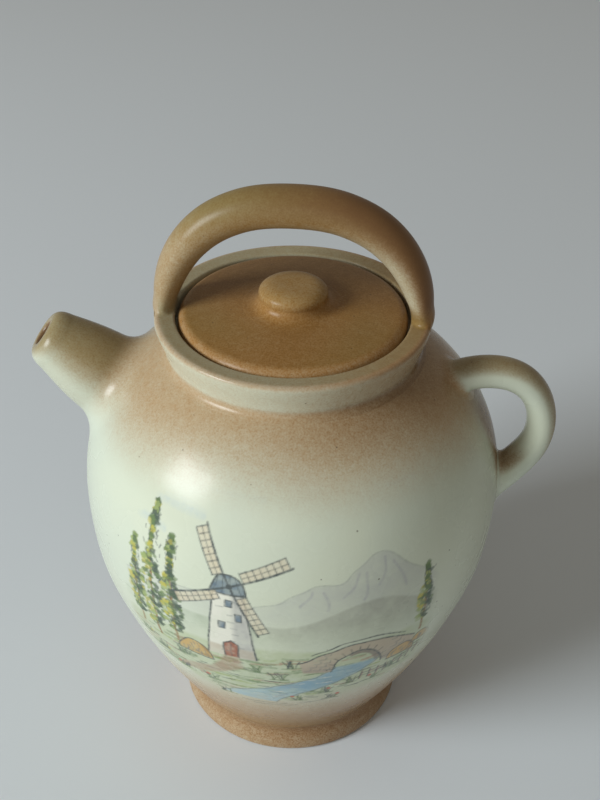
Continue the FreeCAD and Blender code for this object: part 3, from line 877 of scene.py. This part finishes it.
def paintStream():
    left = curve([(29, 50), (24, 42), (8, 36), (-6, 27), (-22, 22), (-30, 15)], 26)
    right = curve([(0, 11), (6, 20), (24, 28), (36, 36), (48, 44), (51, 50)], 26)
    wash(left + right, "waterPale", 0.75, 1.6)
    wash(left[:18] + right[8:], "water", 0.50, 3.0, (14, 34))
    for ripple in range(34):
        v = draw(14, 48)
        share = (v - 14) / 34
        u = draw(-22 + 50 * share, 4 + 44 * share)
        pen([(u, v), (u + draw(2, 6), v + 0.3)], 0.7, hand.choice(["water", "slate", "plaster"]), 0.6)
    for bank in (left, right):
        pen(bank, 0.75, "ink", 0.6)


def paintPoplars():
    for middle, foot, tall, wide in ((-68, 58, 50, 4.6), (-58, 55, 74, 6.0), (-47, 57, 60, 5.2),
                                     (72, 62, 38, 4.2)):
        trunk = [(middle, foot - 2), (middle + 0.6, foot + tall * 0.4), (middle, foot + tall * 0.8)]
        pen(curve(trunk, 8), 1.5, "strawShade", 0.9)
        for leaf in range(int(tall * 3.6)):
            up = hand.random()
            taper = math.sin(min(1.0, up * 1.25 + 0.12) * math.pi) ** 0.6 if up < 0.85 else (1 - up) * 3
            u = middle + draw(-1, 1) * wide * taper
            lit = u < middle + draw(-2, 2)
            colour = hand.choice(["leafGold", "leaf", "grass"] if lit else ["leaf", "leafDark", "leafDark"])
            dab((u, foot + 6 + up * (tall - 4)), draw(1.0, 2.3), colour, draw(0.5, 0.9))
        for twig in range(int(tall * 0.6)):
            v = foot + 8 + hand.random() * (tall - 10)
            u = middle + draw(-0.8, 1) * wide * 0.9
            pen([(u, v), (u + draw(-1.2, 1.2), v + draw(1.0, 2.2))], 0.65, "ink", 0.7)


def paintWindmill():
    foot, top, middle, wide, narrow = 57.0, 99.0, -19.0, 11.5, 6.8

    def on(*points):
        return [(middle + out, level) for out, level in points]

    tower = on((-wide, foot), (-narrow, top), (narrow, top), (wide, foot))
    wash(tower, "plaster", 1.0, 0.6)
    wash(on((2, foot), (1.6, top), (narrow, top), (wide, foot)), "plasterShade", 0.75, 3.0)
    wash(on((-wide, foot), (1 - wide, foot + 8), (wide - 1, foot + 7), (wide, foot)), "stone", 0.6, 1.6)
    cap = curve(on((-8.2, top - 0.6), (-7.4, top + 7), (0, top + 12), (7.4, top + 7), (8.2, top - 0.6)), 20)
    wash(cap, "slate", 0.95, 0.6)
    pen(cap + cap[:1], 0.85)
    for share in (-0.6, -0.25, 0.15, 0.5):
        pen(on((share * 12, top), (share * 6, top + 9)), 0.6, "ink", 0.55)
    pen(tower[:2], 0.9, "ink", 0.95, 0.08)
    pen(tower[2:], 0.9, "ink", 0.95, 0.08)
    door = on((-3.4, foot), (-3.2, foot + 10), (0, foot + 12.4), (3.2, foot + 10), (3.4, foot))
    wash(door, "brick", 1.0, 0.6)
    pen(door, 0.8)
    pen(on((0, foot + 0.5), (0, foot + 11)), 0.6, "ink", 0.6)
    for out, up in ((-4.6, 20), (3.0, 26), (-1.2, 34)):
        sill = foot + up
        pane = on((out, sill), (out, sill + 4.2), (out + 2.8, sill + 4.2), (out + 2.8, sill))
        wash(pane, "slate", 0.9, 0.5)
        pen(pane + pane[:1], 0.6)
    for row in range(9):
        u, v = middle - 8 + draw(0, 12), foot + 4 + row * 4.2
        pen([(u, v), (u + draw(2, 3.4), v)], 0.6, "softInk", 0.5)
    hub = np.array([middle + 0.6, top + 3.6])
    for turn in np.radians((24, 114, 204, 294)):
        along, side = np.array([math.cos(turn), math.sin(turn)]), np.array([-math.sin(turn), math.cos(turn)])

        def sail(*points):
            return [tuple(hub + along * far + side * out) for far, out in points]

        cloth = sail((7, 0.3), (29, 0.3), (29, 5.8), (7, 5.0))
        wash(cloth, "plaster", 0.55, 0.6)
        wash(cloth, "straw", 0.30, 0.6)
        spars = [((0, 0), (30, 0), 1.1, 0.95), ((7, 5.0), (29, 5.8), 0.65, 0.8),
                 ((7, 2.6), (29, 2.9), 0.55, 0.6)]
        rungs = [((far, 0), (far, 5.4), 0.6, 0.75) for far in np.linspace(7, 29, 8)]
        for start, end, width, strength in spars + rungs:
            pen(sail(start, end), width, "ink", strength, 0)
    dab(hub, 1.5, "ink", 0.9, 1.0)


def paintBridge():
    deck = curve([(12, 56), (24, 64), (40, 69), (56, 65), (70, 57)], 24)
    arch = arc(40, 46, 12.5, 15, 0, math.pi, 18)
    wall = deck + [(68, 47), (54, 46)] + arch + [(26, 46), (14, 47)]
    wash(wall, "stone", 0.95, 0.7)
    wash(wall, "stoneShade", 0.40, 1.2, (58, 44))
    under = arc(40, 46, 12.5, 15, 0.2, math.pi - 1.1, 14) + arc(40, 46, 9, 12.5, 2.0, 0.2, 12)
    wash(under, "stoneShade", 0.8, 0.8)
    pen(deck, 0.95)
    pen([(u, v + 2.6) for u, v in deck[2:-2]], 0.8)
    pen(arch, 0.95)
    ends = (0.15, math.pi - 0.15, 11)
    for joint in zip(arc(40, 46, 12.5, 15, *ends), arc(40, 46, 15.6, 18.2, *ends)):
        pen(joint, 0.65, "ink", 0.7, 0)
    for row in range(5):
        for side in (-1, 1):
            for column in range(4):
                u, v = 40 + side * (16.5 + column * 4.4 + (row % 2) * 2.0), 49 + row * 3.1
                if abs(u - 40) < 27 - row * 1.6:
                    pen([(u, v), (u + 2.9, v), (u + 2.9, v + 1.9)], 0.6, "softInk", 0.6, 0.1)


def paintHaystacks():
    for middle, foot, size in ((-38, 50, 9.0), (64, 44, 8.0), (75, 50, 5.6)):
        dome = arc(middle, foot, size, size * 1.25, 0, math.pi, 16)
        wash(dome, "straw", 0.95, 0.7)
        wash([(middle + 1, foot), *dome[2:7], (middle + size, foot)], "strawShade", 0.6, 1.8)
        pen(dome, 0.75)
        pen([(middle - size, foot), (middle + size, foot - 0.6)], 0.8)
        for straw in range(int(size * 2.2)):
            turn, reach = draw(0.25, 2.9), draw(0.3, 0.95)
            u, v = middle + size * reach * math.cos(turn), foot + size * 1.2 * reach * math.sin(turn)
            pen([(u, v), (u + draw(-0.8, 0.8), v - draw(1.4, 3))], 0.6, "softInk", 0.7)


def paintFence():
    line = curve([(44, 34), (56, 33), (68, 36), (79, 42)], 9)
    for u, v in line:
        pen([(u, v - 3.6), (u + 0.3, v + 5)], 1.0, "ink", 0.85, 0.1)
        pen([(u + 0.6, v - 3.4), (u + 0.8, v + 4.6)], 0.7, "earth", 0.8, 0.1)
    for lift in (0.4, 3.2):
        pen([(u, v + lift) for u, v in line], 0.8, "ink", 0.8)


def paintForeground():
    path = [(-23, 57), (-16, 57), (-14, 48), (-24, 40), (-40, 30), (-56, 27), (-50, 34), (-32, 42), (-26, 50)]
    wash(path, "earth", 0.60, 1.8)
    for u, v in ((-62, 36), (-50, 26), (-34, 25), (-28, 13), (2, 40), (12, 14), (26, 22), (38, 29), (52, 26),
                 (62, 33), (-8, 46), (8, 52), (-70, 46), (30, 13), (-46, 44)):
        for blade in range(9):
            lean = draw(-3.4, 3.4)
            root = u + draw(-3, 3)
            tip = (root + lean, v + draw(3, 7))
            colour = hand.choice(["leaf", "leafDark", "moss", "ink"])
            pen(curve([(root, v), (root + lean * 0.3, v + 3), tip], 6), 0.7, colour, 0.8)
        pen([(u - 4, v - 0.4), (u + 5, v - 0.2)], 1.2, "moss", 0.6)
    for flower in ((-58, 38), (-54, 30), (-36, 30), (28, 27), (50, 31), (9, 19), (-66, 48), (34, 18)):
        dab(flower, 1.3, hand.choice(["poppy", "leafGold", "poppy"]), 0.9, 1.0)
    for line in ([(-20, 9), (-8, 8), (6, 9)], [(-14, 6), (0, 5.4), (12, 6.6)],
                 [(14, 10), (24, 11), (34, 13)]):
        pen(curve(line, 8), 0.8, "ink", 0.6)


def paintLandscape(form, sheet):
    for paintPart in (paintClouds, paintHills, paintGround, paintStream, paintPoplars, paintWindmill,
                      paintBridge, paintHaystacks, paintFence, paintForeground):
        paintPart()
    side = smoothStep(*form["fadeSide"], np.abs(printAcross))
    ends = smoothStep(*form["fadeLow"], printUp) * smoothStep(*form["fadeHigh"], printUp)
    canvas["cover"] *= form["strength"] * side * ends[:, None]
    colours = np.concatenate([canvas["colour"], np.ones_like(canvas["cover"])[..., None]], -1)
    layer = sheet.data.attributes.new("ink", "FLOAT_COLOR", "POINT")
    layer.data.foreach_set("color", colours.ravel().astype(np.float32))
    paintValue(sheet, "inkCover", canvas["cover"].ravel())


paintLandscape(printForm, landscapePrint)
print("landscape painted")


# Shared shader effects


# Gives each named socket its value, or a link from another node
def feed(sockets, values):
    for title, value in values.items():
        if isinstance(value, bpy.types.NodeSocket):
            value.id_data.links.new(value, sockets[title])
        else:
            sockets[title].default_value = value


def newGroup(name, inputs, outputs):
    tree = bpy.data.node_groups.new(name, "ShaderNodeTree")
    for title, value in inputs.items():
        socket = tree.interface.new_socket(name=title, in_out="INPUT", socket_type="NodeSocketFloat")
        socket.default_value = value
    for title in outputs:
        tree.interface.new_socket(name=title, in_out="OUTPUT", socket_type="NodeSocketFloat")
    return tree, tree.nodes.new("NodeGroupInput").outputs, tree.nodes.new("NodeGroupOutput").inputs


def mathNode(operation, *values, clamp=False):
    tree = next(value.id_data for value in values if isinstance(value, bpy.types.NodeSocket))
    node = tree.nodes.new("ShaderNodeMath")
    node.operation = operation
    node.use_clamp = clamp
    feed(node.inputs, dict(enumerate(values)))
    return node.outputs[0]


def times(first, second):
    return mathNode("MULTIPLY", first, second)


def rampNode(value, low, high, start=0.0, end=1.0):
    node = value.id_data.nodes.new("ShaderNodeMapRange")
    node.interpolation_type = "SMOOTHSTEP"
    feed(node.inputs, {"Value": value, "From Min": low, "From Max": high, "To Min": start, "To Max": end})
    return node.outputs["Result"]


# A texture laid out on the object itself, one cell of it being size metres
def textureNode(tree, kind, size):
    node = tree.nodes.new(kind)
    feed(node.inputs, {"Scale": 1 / size, "Vector": tree.nodes.new("ShaderNodeTexCoord").outputs["Object"]})
    return node


def noiseNode(tree, size, detail, rough):
    node = textureNode(tree, "ShaderNodeTexNoise", size)
    feed(node.inputs, {"Detail": detail, "Roughness": rough})
    return node.outputs["Fac"]


def mixNode(mask, under, over):
    node = mask.id_data.nodes.new("ShaderNodeMix")
    node.data_type = "RGBA"
    colours = [socket for socket in node.inputs if socket.type == "RGBA"]
    feed([node.inputs[0], *colours], {0: mask, 1: under, 2: over})
    return next(socket for socket in node.outputs if socket.type == "RGBA")


# Airbrushed colour lands as fine droplets, thick in the middle and scattered at the edge
def makeSprayGrain():
    tree, given, result = newGroup("sprayGrain", {"Cover": 0.0, "Depth": 0.5}, ("Cover", "Droplets"))
    fine, broad, cloud = (noiseNode(tree, size, 2.0, rough)
                          for size, rough in ((0.0008, 0.6), (0.0032, 0.55), (0.019, 0.5)))
    mixed = mathNode("ADD", mathNode("ADD", times(fine, 0.55), times(broad, 0.30)), times(cloud, 0.15))
    swing = times(mathNode("SUBTRACT", mixed, 0.5), given["Depth"])
    weight = times(times(given["Cover"], mathNode("SUBTRACT", 1.25, given["Cover"])), 6.0)
    cover = mathNode("ADD", given["Cover"], times(swing, weight), clamp=True)
    feed(result, {"Cover": cover, "Droplets": rampNode(fine, 0.50, 0.72)})
    return tree


# Iron flecks from the stoneware and a few pinholes in the glaze
def makeStoneFlecks():
    tree, given, result = newGroup("stoneFlecks", {"Flecks": 0.3, "Pinholes": 0.1}, ("Fleck", "Pinhole"))
    for title, size, dot in (("Fleck", 0.0034, 0.14), ("Pinhole", 0.0150, 0.020)):
        cells = textureNode(tree, "ShaderNodeTexVoronoi", size)
        split = tree.nodes.new("ShaderNodeSeparateColor")
        feed(split.inputs, {"Color": cells.outputs["Color"]})
        chosen = mathNode("LESS_THAN", split.outputs["Red"], given[title + "s"])
        spread = mathNode("MULTIPLY_ADD", split.outputs["Green"], dot, dot * 0.4)
        near = mathNode("SUBTRACT", 1.0, mathNode("DIVIDE", cells.outputs["Distance"], spread), clamp=True)
        feed(result, {title: times(rampNode(near, 0.0, 0.45), chosen)})
    return tree


# The skin of a satin glaze: a fine orange peel over slow ripples
def makeGlazeSkin():
    tree, given, result = newGroup("glazeSkin", {"Peel": 0.5, "Ripple": 0.5}, ("Height", "Dullness"))
    peel = times(noiseNode(tree, 0.0017, 2.0, 0.5), given["Peel"])
    height = mathNode("ADD", peel, times(noiseNode(tree, 0.0085, 1.0, 0.4), given["Ripple"]))
    feed(result, {"Height": height, "Dullness": noiseNode(tree, 0.028, 3.0, 0.55)})
    return tree


groups = {"spray": makeSprayGrain(), "flecks": makeStoneFlecks(), "skin": makeGlazeSkin()}


def placeGroup(tree, name, values):
    node = tree.nodes.new("ShaderNodeGroup")
    node.node_tree = groups[name]
    feed(node.inputs, values)
    return node.outputs


def readValue(tree, name, output="Fac"):
    node = tree.nodes.new("ShaderNodeAttribute")
    node.attribute_name = name
    return node.outputs[output]


# Colours as a painter would name them, in linear light
glazeColours = {
    "cream": (0.63, 0.67, 0.53, 1),
    "creamCool": (0.61, 0.66, 0.54, 1),
    "ochre": (0.45, 0.290, 0.145, 1),
    "amber": (0.35, 0.195, 0.058, 1),
    "honey": (0.43, 0.205, 0.046, 1),
    "umber": (0.155, 0.085, 0.036, 1),
    "olive": (0.215, 0.185, 0.060, 1),
    "rust": (0.36, 0.15, 0.05, 1),
    "iron": (0.065, 0.040, 0.025, 1),
}

satin = {"coat": "ochre", "depth": 0.42, "mottle": 0.14, "flecks": 0.05, "pinholes": 0.004, "peel": 0.5,
         "ripple": 1.0, "rough": 0.27, "roughSwing": 0.05, "gloss": 0.26, "coatWeight": 0.05,
         "coatRough": 0.20, "bump": 0.35, "bumpDepth": 0.00016, "pinholeDepth": 1.5}

finishes = {
    "bodyGlaze": satin,
    "footGlaze": {**satin, "depth": 0.6, "mottle": 0.46, "flecks": 0.22, "pinholes": 0.02,
                  "peel": 0.8, "rough": 0.42, "gloss": 0.2, "coatWeight": 0.04},
    "collarGlaze": satin,
    "hoopGlaze": {**satin, "coat": "amber", "depth": 0.35, "mottle": 0.12, "flecks": 0.06, "pinholes": 0.015,
                  "peel": 0.6, "rough": 0.38, "gloss": 0.2, "coatWeight": 0.04},
    "lidGlaze": {**satin, "coat": "honey", "depth": 0.4, "mottle": 0.26, "flecks": 0.16, "pinholes": 0.02,
                 "peel": 0.7, "rough": 0.36, "gloss": 0.14, "coatWeight": 0.06},
    "printGlaze": satin,
}


def makeGlaze(name, look):
    material = bpy.data.materials.new(name)
    material.use_nodes = True
    tree = material.node_tree
    shader = tree.nodes["Principled BSDF"].inputs
    light, dark = (placeGroup(tree, "spray", {"Cover": readValue(tree, layer), "Depth": look["depth"]})
                   for layer in ("ochre", "umber"))
    specks = placeGroup(tree, "flecks", {"Flecks": look["flecks"], "Pinholes": look["pinholes"]})
    skin = placeGroup(tree, "skin", {"Peel": look["peel"], "Ripple": look["ripple"]})
    cloud = rampNode(noiseNode(tree, 0.055, 2.0, 0.5), 0.35, 0.65)
    mottle = times(times(dark["Droplets"], light["Cover"]), look["mottle"])
    colour = glazeColours["cream"]
    for mask, coat in ((cloud, "creamCool"), (light["Cover"], look["coat"]),
                       (readValue(tree, "olive"), "olive"), (dark["Cover"], "umber"), (mottle, "umber"),
                       (readValue(tree, "rust"), "rust")):
        colour = mixNode(mask, colour, glazeColours[coat])
    if name == "printGlaze":
        colour = mixNode(readValue(tree, "inkCover"), colour, readValue(tree, "ink", "Color"))
    for title, strength in (("Fleck", 0.55), ("Pinhole", 0.80)):
        colour = mixNode(times(specks[title], strength), colour, glazeColours["iron"])
    low, high = look["rough"] - look["roughSwing"], look["rough"] + look["roughSwing"]
    height = mathNode("SUBTRACT", skin["Height"], times(specks["Pinhole"], look["pinholeDepth"]))
    bump = tree.nodes.new("ShaderNodeBump")
    feed(bump.inputs, {"Strength": look["bump"], "Distance": look["bumpDepth"], "Height": height})
    feed(shader, {"Base Color": colour, "Roughness": rampNode(skin["Dullness"], 0.3, 0.7, low, high),
                  "Normal": bump.outputs["Normal"], "Specular IOR Level": look["gloss"],
                  "Coat Weight": look["coatWeight"], "Coat Roughness": look["coatRough"]})
    return material


glazes = {name: makeGlaze(name, look) for name, look in finishes.items()}
print("glazes mixed")


# Airbrushing and painted light and shade: how thickly ochre, umber, olive and rust lie at each point of a
# piece

spray = {
    "shoulder": (0.1840, 0.2185),
    "shoulderDark": (0.200, 0.2225),
    "foot": (0.086, 0.040),
    "footDark": (0.072, 0.026),
    "sideMiddle": (0.098, 0.0, 0.178),
    "hoopMiddle": (0.0, 0.0, 0.235),
}


def wallCover(points):
    height = points[:, 2]
    turn = np.arctan2(points[:, 1], points[:, 0])
    drift = 0.003 * np.sin(2 * turn + 0.6) + 0.002 * np.sin(5 * turn + 2.0)
    # The shoulder coat is thicker and reaches lower on the right: partly the spray, partly painted shade on
    # the side away from the lamp
    right = smoothStep(-0.01, 0.075, points[:, 0])
    shoulder = smoothStep(*spray["shoulder"], height + drift + 0.007 * right)
    foot = smoothStep(*spray["foot"], height + drift)
    return np.maximum((0.84 + 0.13 * right) * shoulder ** 1.1, 0.95 * foot ** 0.8)


def wallUmber(points):
    # Umber thickens towards the right: partly the spray, partly painted shade on the side away from the lamp
    right = smoothStep(-0.02, 0.08, points[:, 0])
    shoulder = smoothStep(*spray["shoulderDark"], points[:, 2])
    foot = smoothStep(*spray["footDark"], points[:, 2])
    return np.maximum(shoulder * (0.08 + 0.60 * right), foot * (0.30 + 0.20 * right))


# The wall's own coats, where a piece is rubbed onto it, and the piece's above
def blendWall(points, onWall, ochre, umber):
    return (wallCover(points) * onWall + ochre * (1 - onWall),
            wallUmber(points) * onWall + umber * (1 - onWall))


# How far a strap's surface faces away from the middle of its loop
def facingOut(points, normals, middle):
    return (unit((points - np.array(middle)) * (1, 0, 1)) * normals).sum(1)


def sprayPrint(points, normals):
    return wallCover(points), wallUmber(points)


# Painted shade on the wall behind the side handle, laid on as extra ochre and umber
def sprayBody(points, normals):
    across = smoothStep(0.019, 0.006, np.abs(points[:, 1] + 0.002))
    level = smoothStep(0.135, 0.150, points[:, 2]) * smoothStep(0.204, 0.188, points[:, 2])
    handleShade = across * level * smoothStep(0.05, 0.08, points[:, 0])
    return np.maximum(wallCover(points), 0.85 * handleShade), np.maximum(wallUmber(points), 0.62 * handleShade)


def sprayFoot(points, normals):
    blend = smoothStep(waistHeight, footForm["slipTop"], points[:, 2])
    # More umber towards the right: partly the spray, partly painted shade on the side away from the lamp
    right = smoothStep(-0.03, 0.045, points[:, 0])
    high = smoothStep(0.006, waistHeight, points[:, 2])
    coats = blendWall(points, blend, 0.82 + 0.10 * high, 0.20 + 0.24 * right + 0.26 * high)
    return *coats, 0.0, 0.14 * (1 - blend)


def sprayCollar(points, normals):
    radius = np.hypot(points[:, 0], points[:, 1])
    up = (points[:, 2] - shoulderHeight) / (rimHeight - shoulderHeight)
    # Ochre and umber thicken towards the right: partly the spray, partly painted shade on the side away from
    # the lamp
    right = smoothStep(-0.01, 0.07, points[:, 0])
    flat = smoothStep(0.90, 1.0, up)
    onWall = smoothStep(0.30, 0.05, up)
    edge = smoothStep(0.0592, 0.0606, radius) * smoothStep(0.84, 0.95, up)
    inside = smoothStep(0.0545, 0.0520, radius)
    coats = (wallCover(points) * onWall, 0.33 + 0.47 * right + 0.26 * flat, 0.60 * edge, 0.45 * inside)
    umber = wallUmber(points) * onWall + 0.24 * right + 0.10 * flat
    return np.max(coats, axis=0), umber, 0.42 * smoothStep(0.80, 0.98, up) * (1 - edge), 0.16 * edge


def spraySpout(points, normals):
    depth = flankWall["depth"](points)
    onWall = smoothStep(0.010, 0.0, depth)
    upper = 0.15 + 0.85 * smoothStep(-0.30, 0.55, normals[:, 2] + 0.25 * normals[:, 1])
    near = smoothStep(0.052, 0.010, depth)
    ochre, umber = blendWall(points, onWall, upper * (0.62 + 0.25 * near), upper * (0.05 + 0.22 * near))
    olive = 0.55 * upper * smoothStep(0.002, 0.012, depth)
    away = points - spoutRoot
    away = np.linalg.norm(away - (away @ spoutAlong)[:, None] * spoutAlong, axis=1)
    # Painted shade inside the bore and round its mouth: full ochre and dark umber in place of the olive
    bore = smoothStep(1.40, 1.05, away / spoutForm["bore"])
    return np.maximum(ochre, bore), np.maximum(umber, 0.9 * bore), olive * (1 - bore)


def spraySideHandle(points, normals):
    height, depth = points[:, 2], flankWall["depth"](points)
    facing = facingOut(points, normals, spray["sideMiddle"])
    outer = smoothStep(0.45, 1.20, facing) * smoothStep(0.150, 0.190, height)
    # Painted shade in the crotch of the lower root, on faces turned in towards the loop: extra ochre and umber
    crotchShade = smoothStep(-0.25, -0.85, facing) * smoothStep(0.172, 0.158, height)
    lobe = smoothStep(0.35, -0.35, normals[:, 2]) * smoothStep(0.165, 0.180, height)
    onWall = smoothStep(0.0045, 0.0, depth) * (1 - 0.85 * lobe * smoothStep(0.0006, 0.0024, depth))
    ochre, umber = blendWall(points, onWall, outer * 0.95, outer * 0.24)
    return np.maximum(ochre, 0.8 * crotchShade), np.maximum(umber, 0.6 * crotchShade), 0.62 * outer * (1 - onWall)


def sprayHoop(points, normals):
    outer = smoothStep(-0.75, 0.75, facingOut(points, normals, spray["hoopMiddle"]))
    right = smoothStep(-0.05, 0.06, points[:, 0])
    top = smoothStep(0.262, 0.292, points[:, 2])
    # Partly spray and partly painted light: the right leg's outer faces get heavy umber as painted shade, its
    # inner faces, turned to the lamp, are lightened as painted light, and the left leg's inner faces get more
    # ochre, partly painted shade
    inner = (1 - outer) * right * (1 - top)
    ochre = 0.62 + 0.14 * outer + 0.20 * right + 0.12 * top - 0.34 * inner + 0.24 * (1 - outer) * (1 - right)
    umber = 0.12 + 0.90 * outer * right + (0.08 + 0.14 * right) * top - 0.10 * inner
    coats = (ochre, umber, 0.72 * top * outer * (1 - 0.6 * right), 0.16 * outer * right)
    low = smoothStep(0.0005, 0.0110, collarWall["depth"](points))
    return [rim + (coat - rim) * low for rim, coat in zip(sprayCollar(points, normals), coats)]


def sprayLid(points, normals):
    turn = np.arctan2(points[:, 1], points[:, 0])
    radius = np.hypot(points[:, 0], points[:, 1])
    patch = 0.5 + 0.5 * np.sin(3 * turn + 1.0 + radius * 60)
    edge = smoothStep(0.0470, 0.0505, radius)
    # Painted shadow of the hoop: more umber and less olive over the back half of the lid, which the knob
    # shares
    hoopShadow = smoothStep(-0.01, 0.04, points[:, 1])
    olive = 0.30 * patch * smoothStep(0.016, 0.040, radius) * (1 - 0.7 * hoopShadow) + 0.10
    return 0.97 - 0.10 * edge, 0.34 + 0.10 * (1 - patch) - 0.16 * edge + 0.38 * hoopShadow, olive * (1 - edge)


def sprayKnob(points, normals):
    ochre, umber, olive = sprayLid(points, normals)
    high = smoothStep(0.0005, 0.0090, points[:, 2] - lidCrown)
    return ochre - 0.08 * high, umber * (1 - 0.65 * high), olive + 0.22 * high


# Sprays a piece, dresses it in its glaze and puts it in place of its CAD node
def finishPiece(piece, cover, glaze, body, node=None):
    coats = cover(meshValues(piece, "co"), meshValues(piece, "normal"))
    for name, values in zip(("ochre", "umber", "olive", "rust"), (*coats, 0.0, 0.0)):
        paintValue(piece, name, np.zeros(len(piece.data.vertices)) + values)
    piece.data.materials.append(glazes[glaze])
    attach(piece, body)
    if node:
        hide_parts(node)


finishPiece(bodyWall, sprayBody, "bodyGlaze", "vessel", "body_shell")
finishPiece(footRing, sprayFoot, "footGlaze", "vessel", "foot_ring")
finishPiece(collarRim, sprayCollar, "collarGlaze", "vessel", "collar")
finishPiece(pouringSpout, spraySpout, "bodyGlaze", "vessel", "spout")
finishPiece(sideHandle, spraySideHandle, "bodyGlaze", "vessel", "side_handle")
finishPiece(hoopHandle, sprayHoop, "hoopGlaze", "vessel", "hoop_handle")
finishPiece(lidDisc, sprayLid, "lidGlaze", "loose_lid", "lid")
finishPiece(lidKnob, sprayKnob, "lidGlaze", "loose_lid", "lid_knob")
finishPiece(landscapePrint, sprayPrint, "printGlaze", "vessel")
print("pieces sprayed")


# Floor, lamps and sky

studio = {
    "floor": (0.74, 0.79, 0.83, 1),
    "floorSize": 12.0,
    "floorDrop": 0.00005,
    "floorRough": 0.55,
    "lampAim": (0, 0, 0.14),
    "window": {"place": (-2.60, -1.66, 1.62), "size": (1.40, 1.25), "power": 104.0,
               "colour": (0.93, 0.98, 1.0)},
    "fill": {"place": (-0.5, -3.2, 0.95), "size": (1.8,), "power": 8.5, "colour": (1.0, 0.98, 0.94)},
    "sky": (0.20, 0.188, 0.166, 1),
    "backdrop": (0.36, 0.32, 0.26, 1),
}


def makeFloor(look):
    half = look["floorSize"] / 2
    mesh = bpy.data.meshes.new("studioFloor")
    corners = [(-half, -half, 0), (half, -half, 0), (half, half, 0), (-half, half, 0)]
    mesh.from_pydata(corners, [], [(0, 1, 2, 3)])
    floor = addObject("studioFloor", mesh)
    floor.location.z = -look["floorDrop"]
    material = bpy.data.materials.new("floorPaint")
    material.use_nodes = True
    shader = material.node_tree.nodes["Principled BSDF"].inputs
    feed(shader, {"Base Color": look["floor"], "Roughness": look["floorRough"]})
    mesh.materials.append(material)


def makeLamp(name, look):
    data = bpy.data.lights.new(name, "AREA")
    data.energy = look["power"]
    data.color = look["colour"]
    data.size = look["size"][0]
    if len(look["size"]) == 2:
        data.shape = "RECTANGLE"
        data.size_y = look["size"][1]
    addObject(name, data).matrix_world = aimed(look["place"], studio["lampAim"])


def makeSky(look):
    world = bpy.data.worlds.new("studioSky")
    world.use_nodes = True
    rays = world.node_tree.nodes.new("ShaderNodeLightPath").outputs
    seen = mathNode("MAXIMUM", rays["Is Camera Ray"], rays["Is Glossy Ray"])
    seen = mathNode("MAXIMUM", seen, rays["Is Transmission Ray"])
    sky = mixNode(seen, look["sky"], look["backdrop"])
    feed(world.node_tree.nodes["Background"].inputs, {"Color": sky})
    bpy.context.scene.world = world


makeFloor(studio)
makeLamp("windowLamp", studio["window"])
makeLamp("fillLamp", studio["fill"])
makeSky(studio)
bpy.context.scene.view_settings.view_transform = "Standard"
print("studio lit")
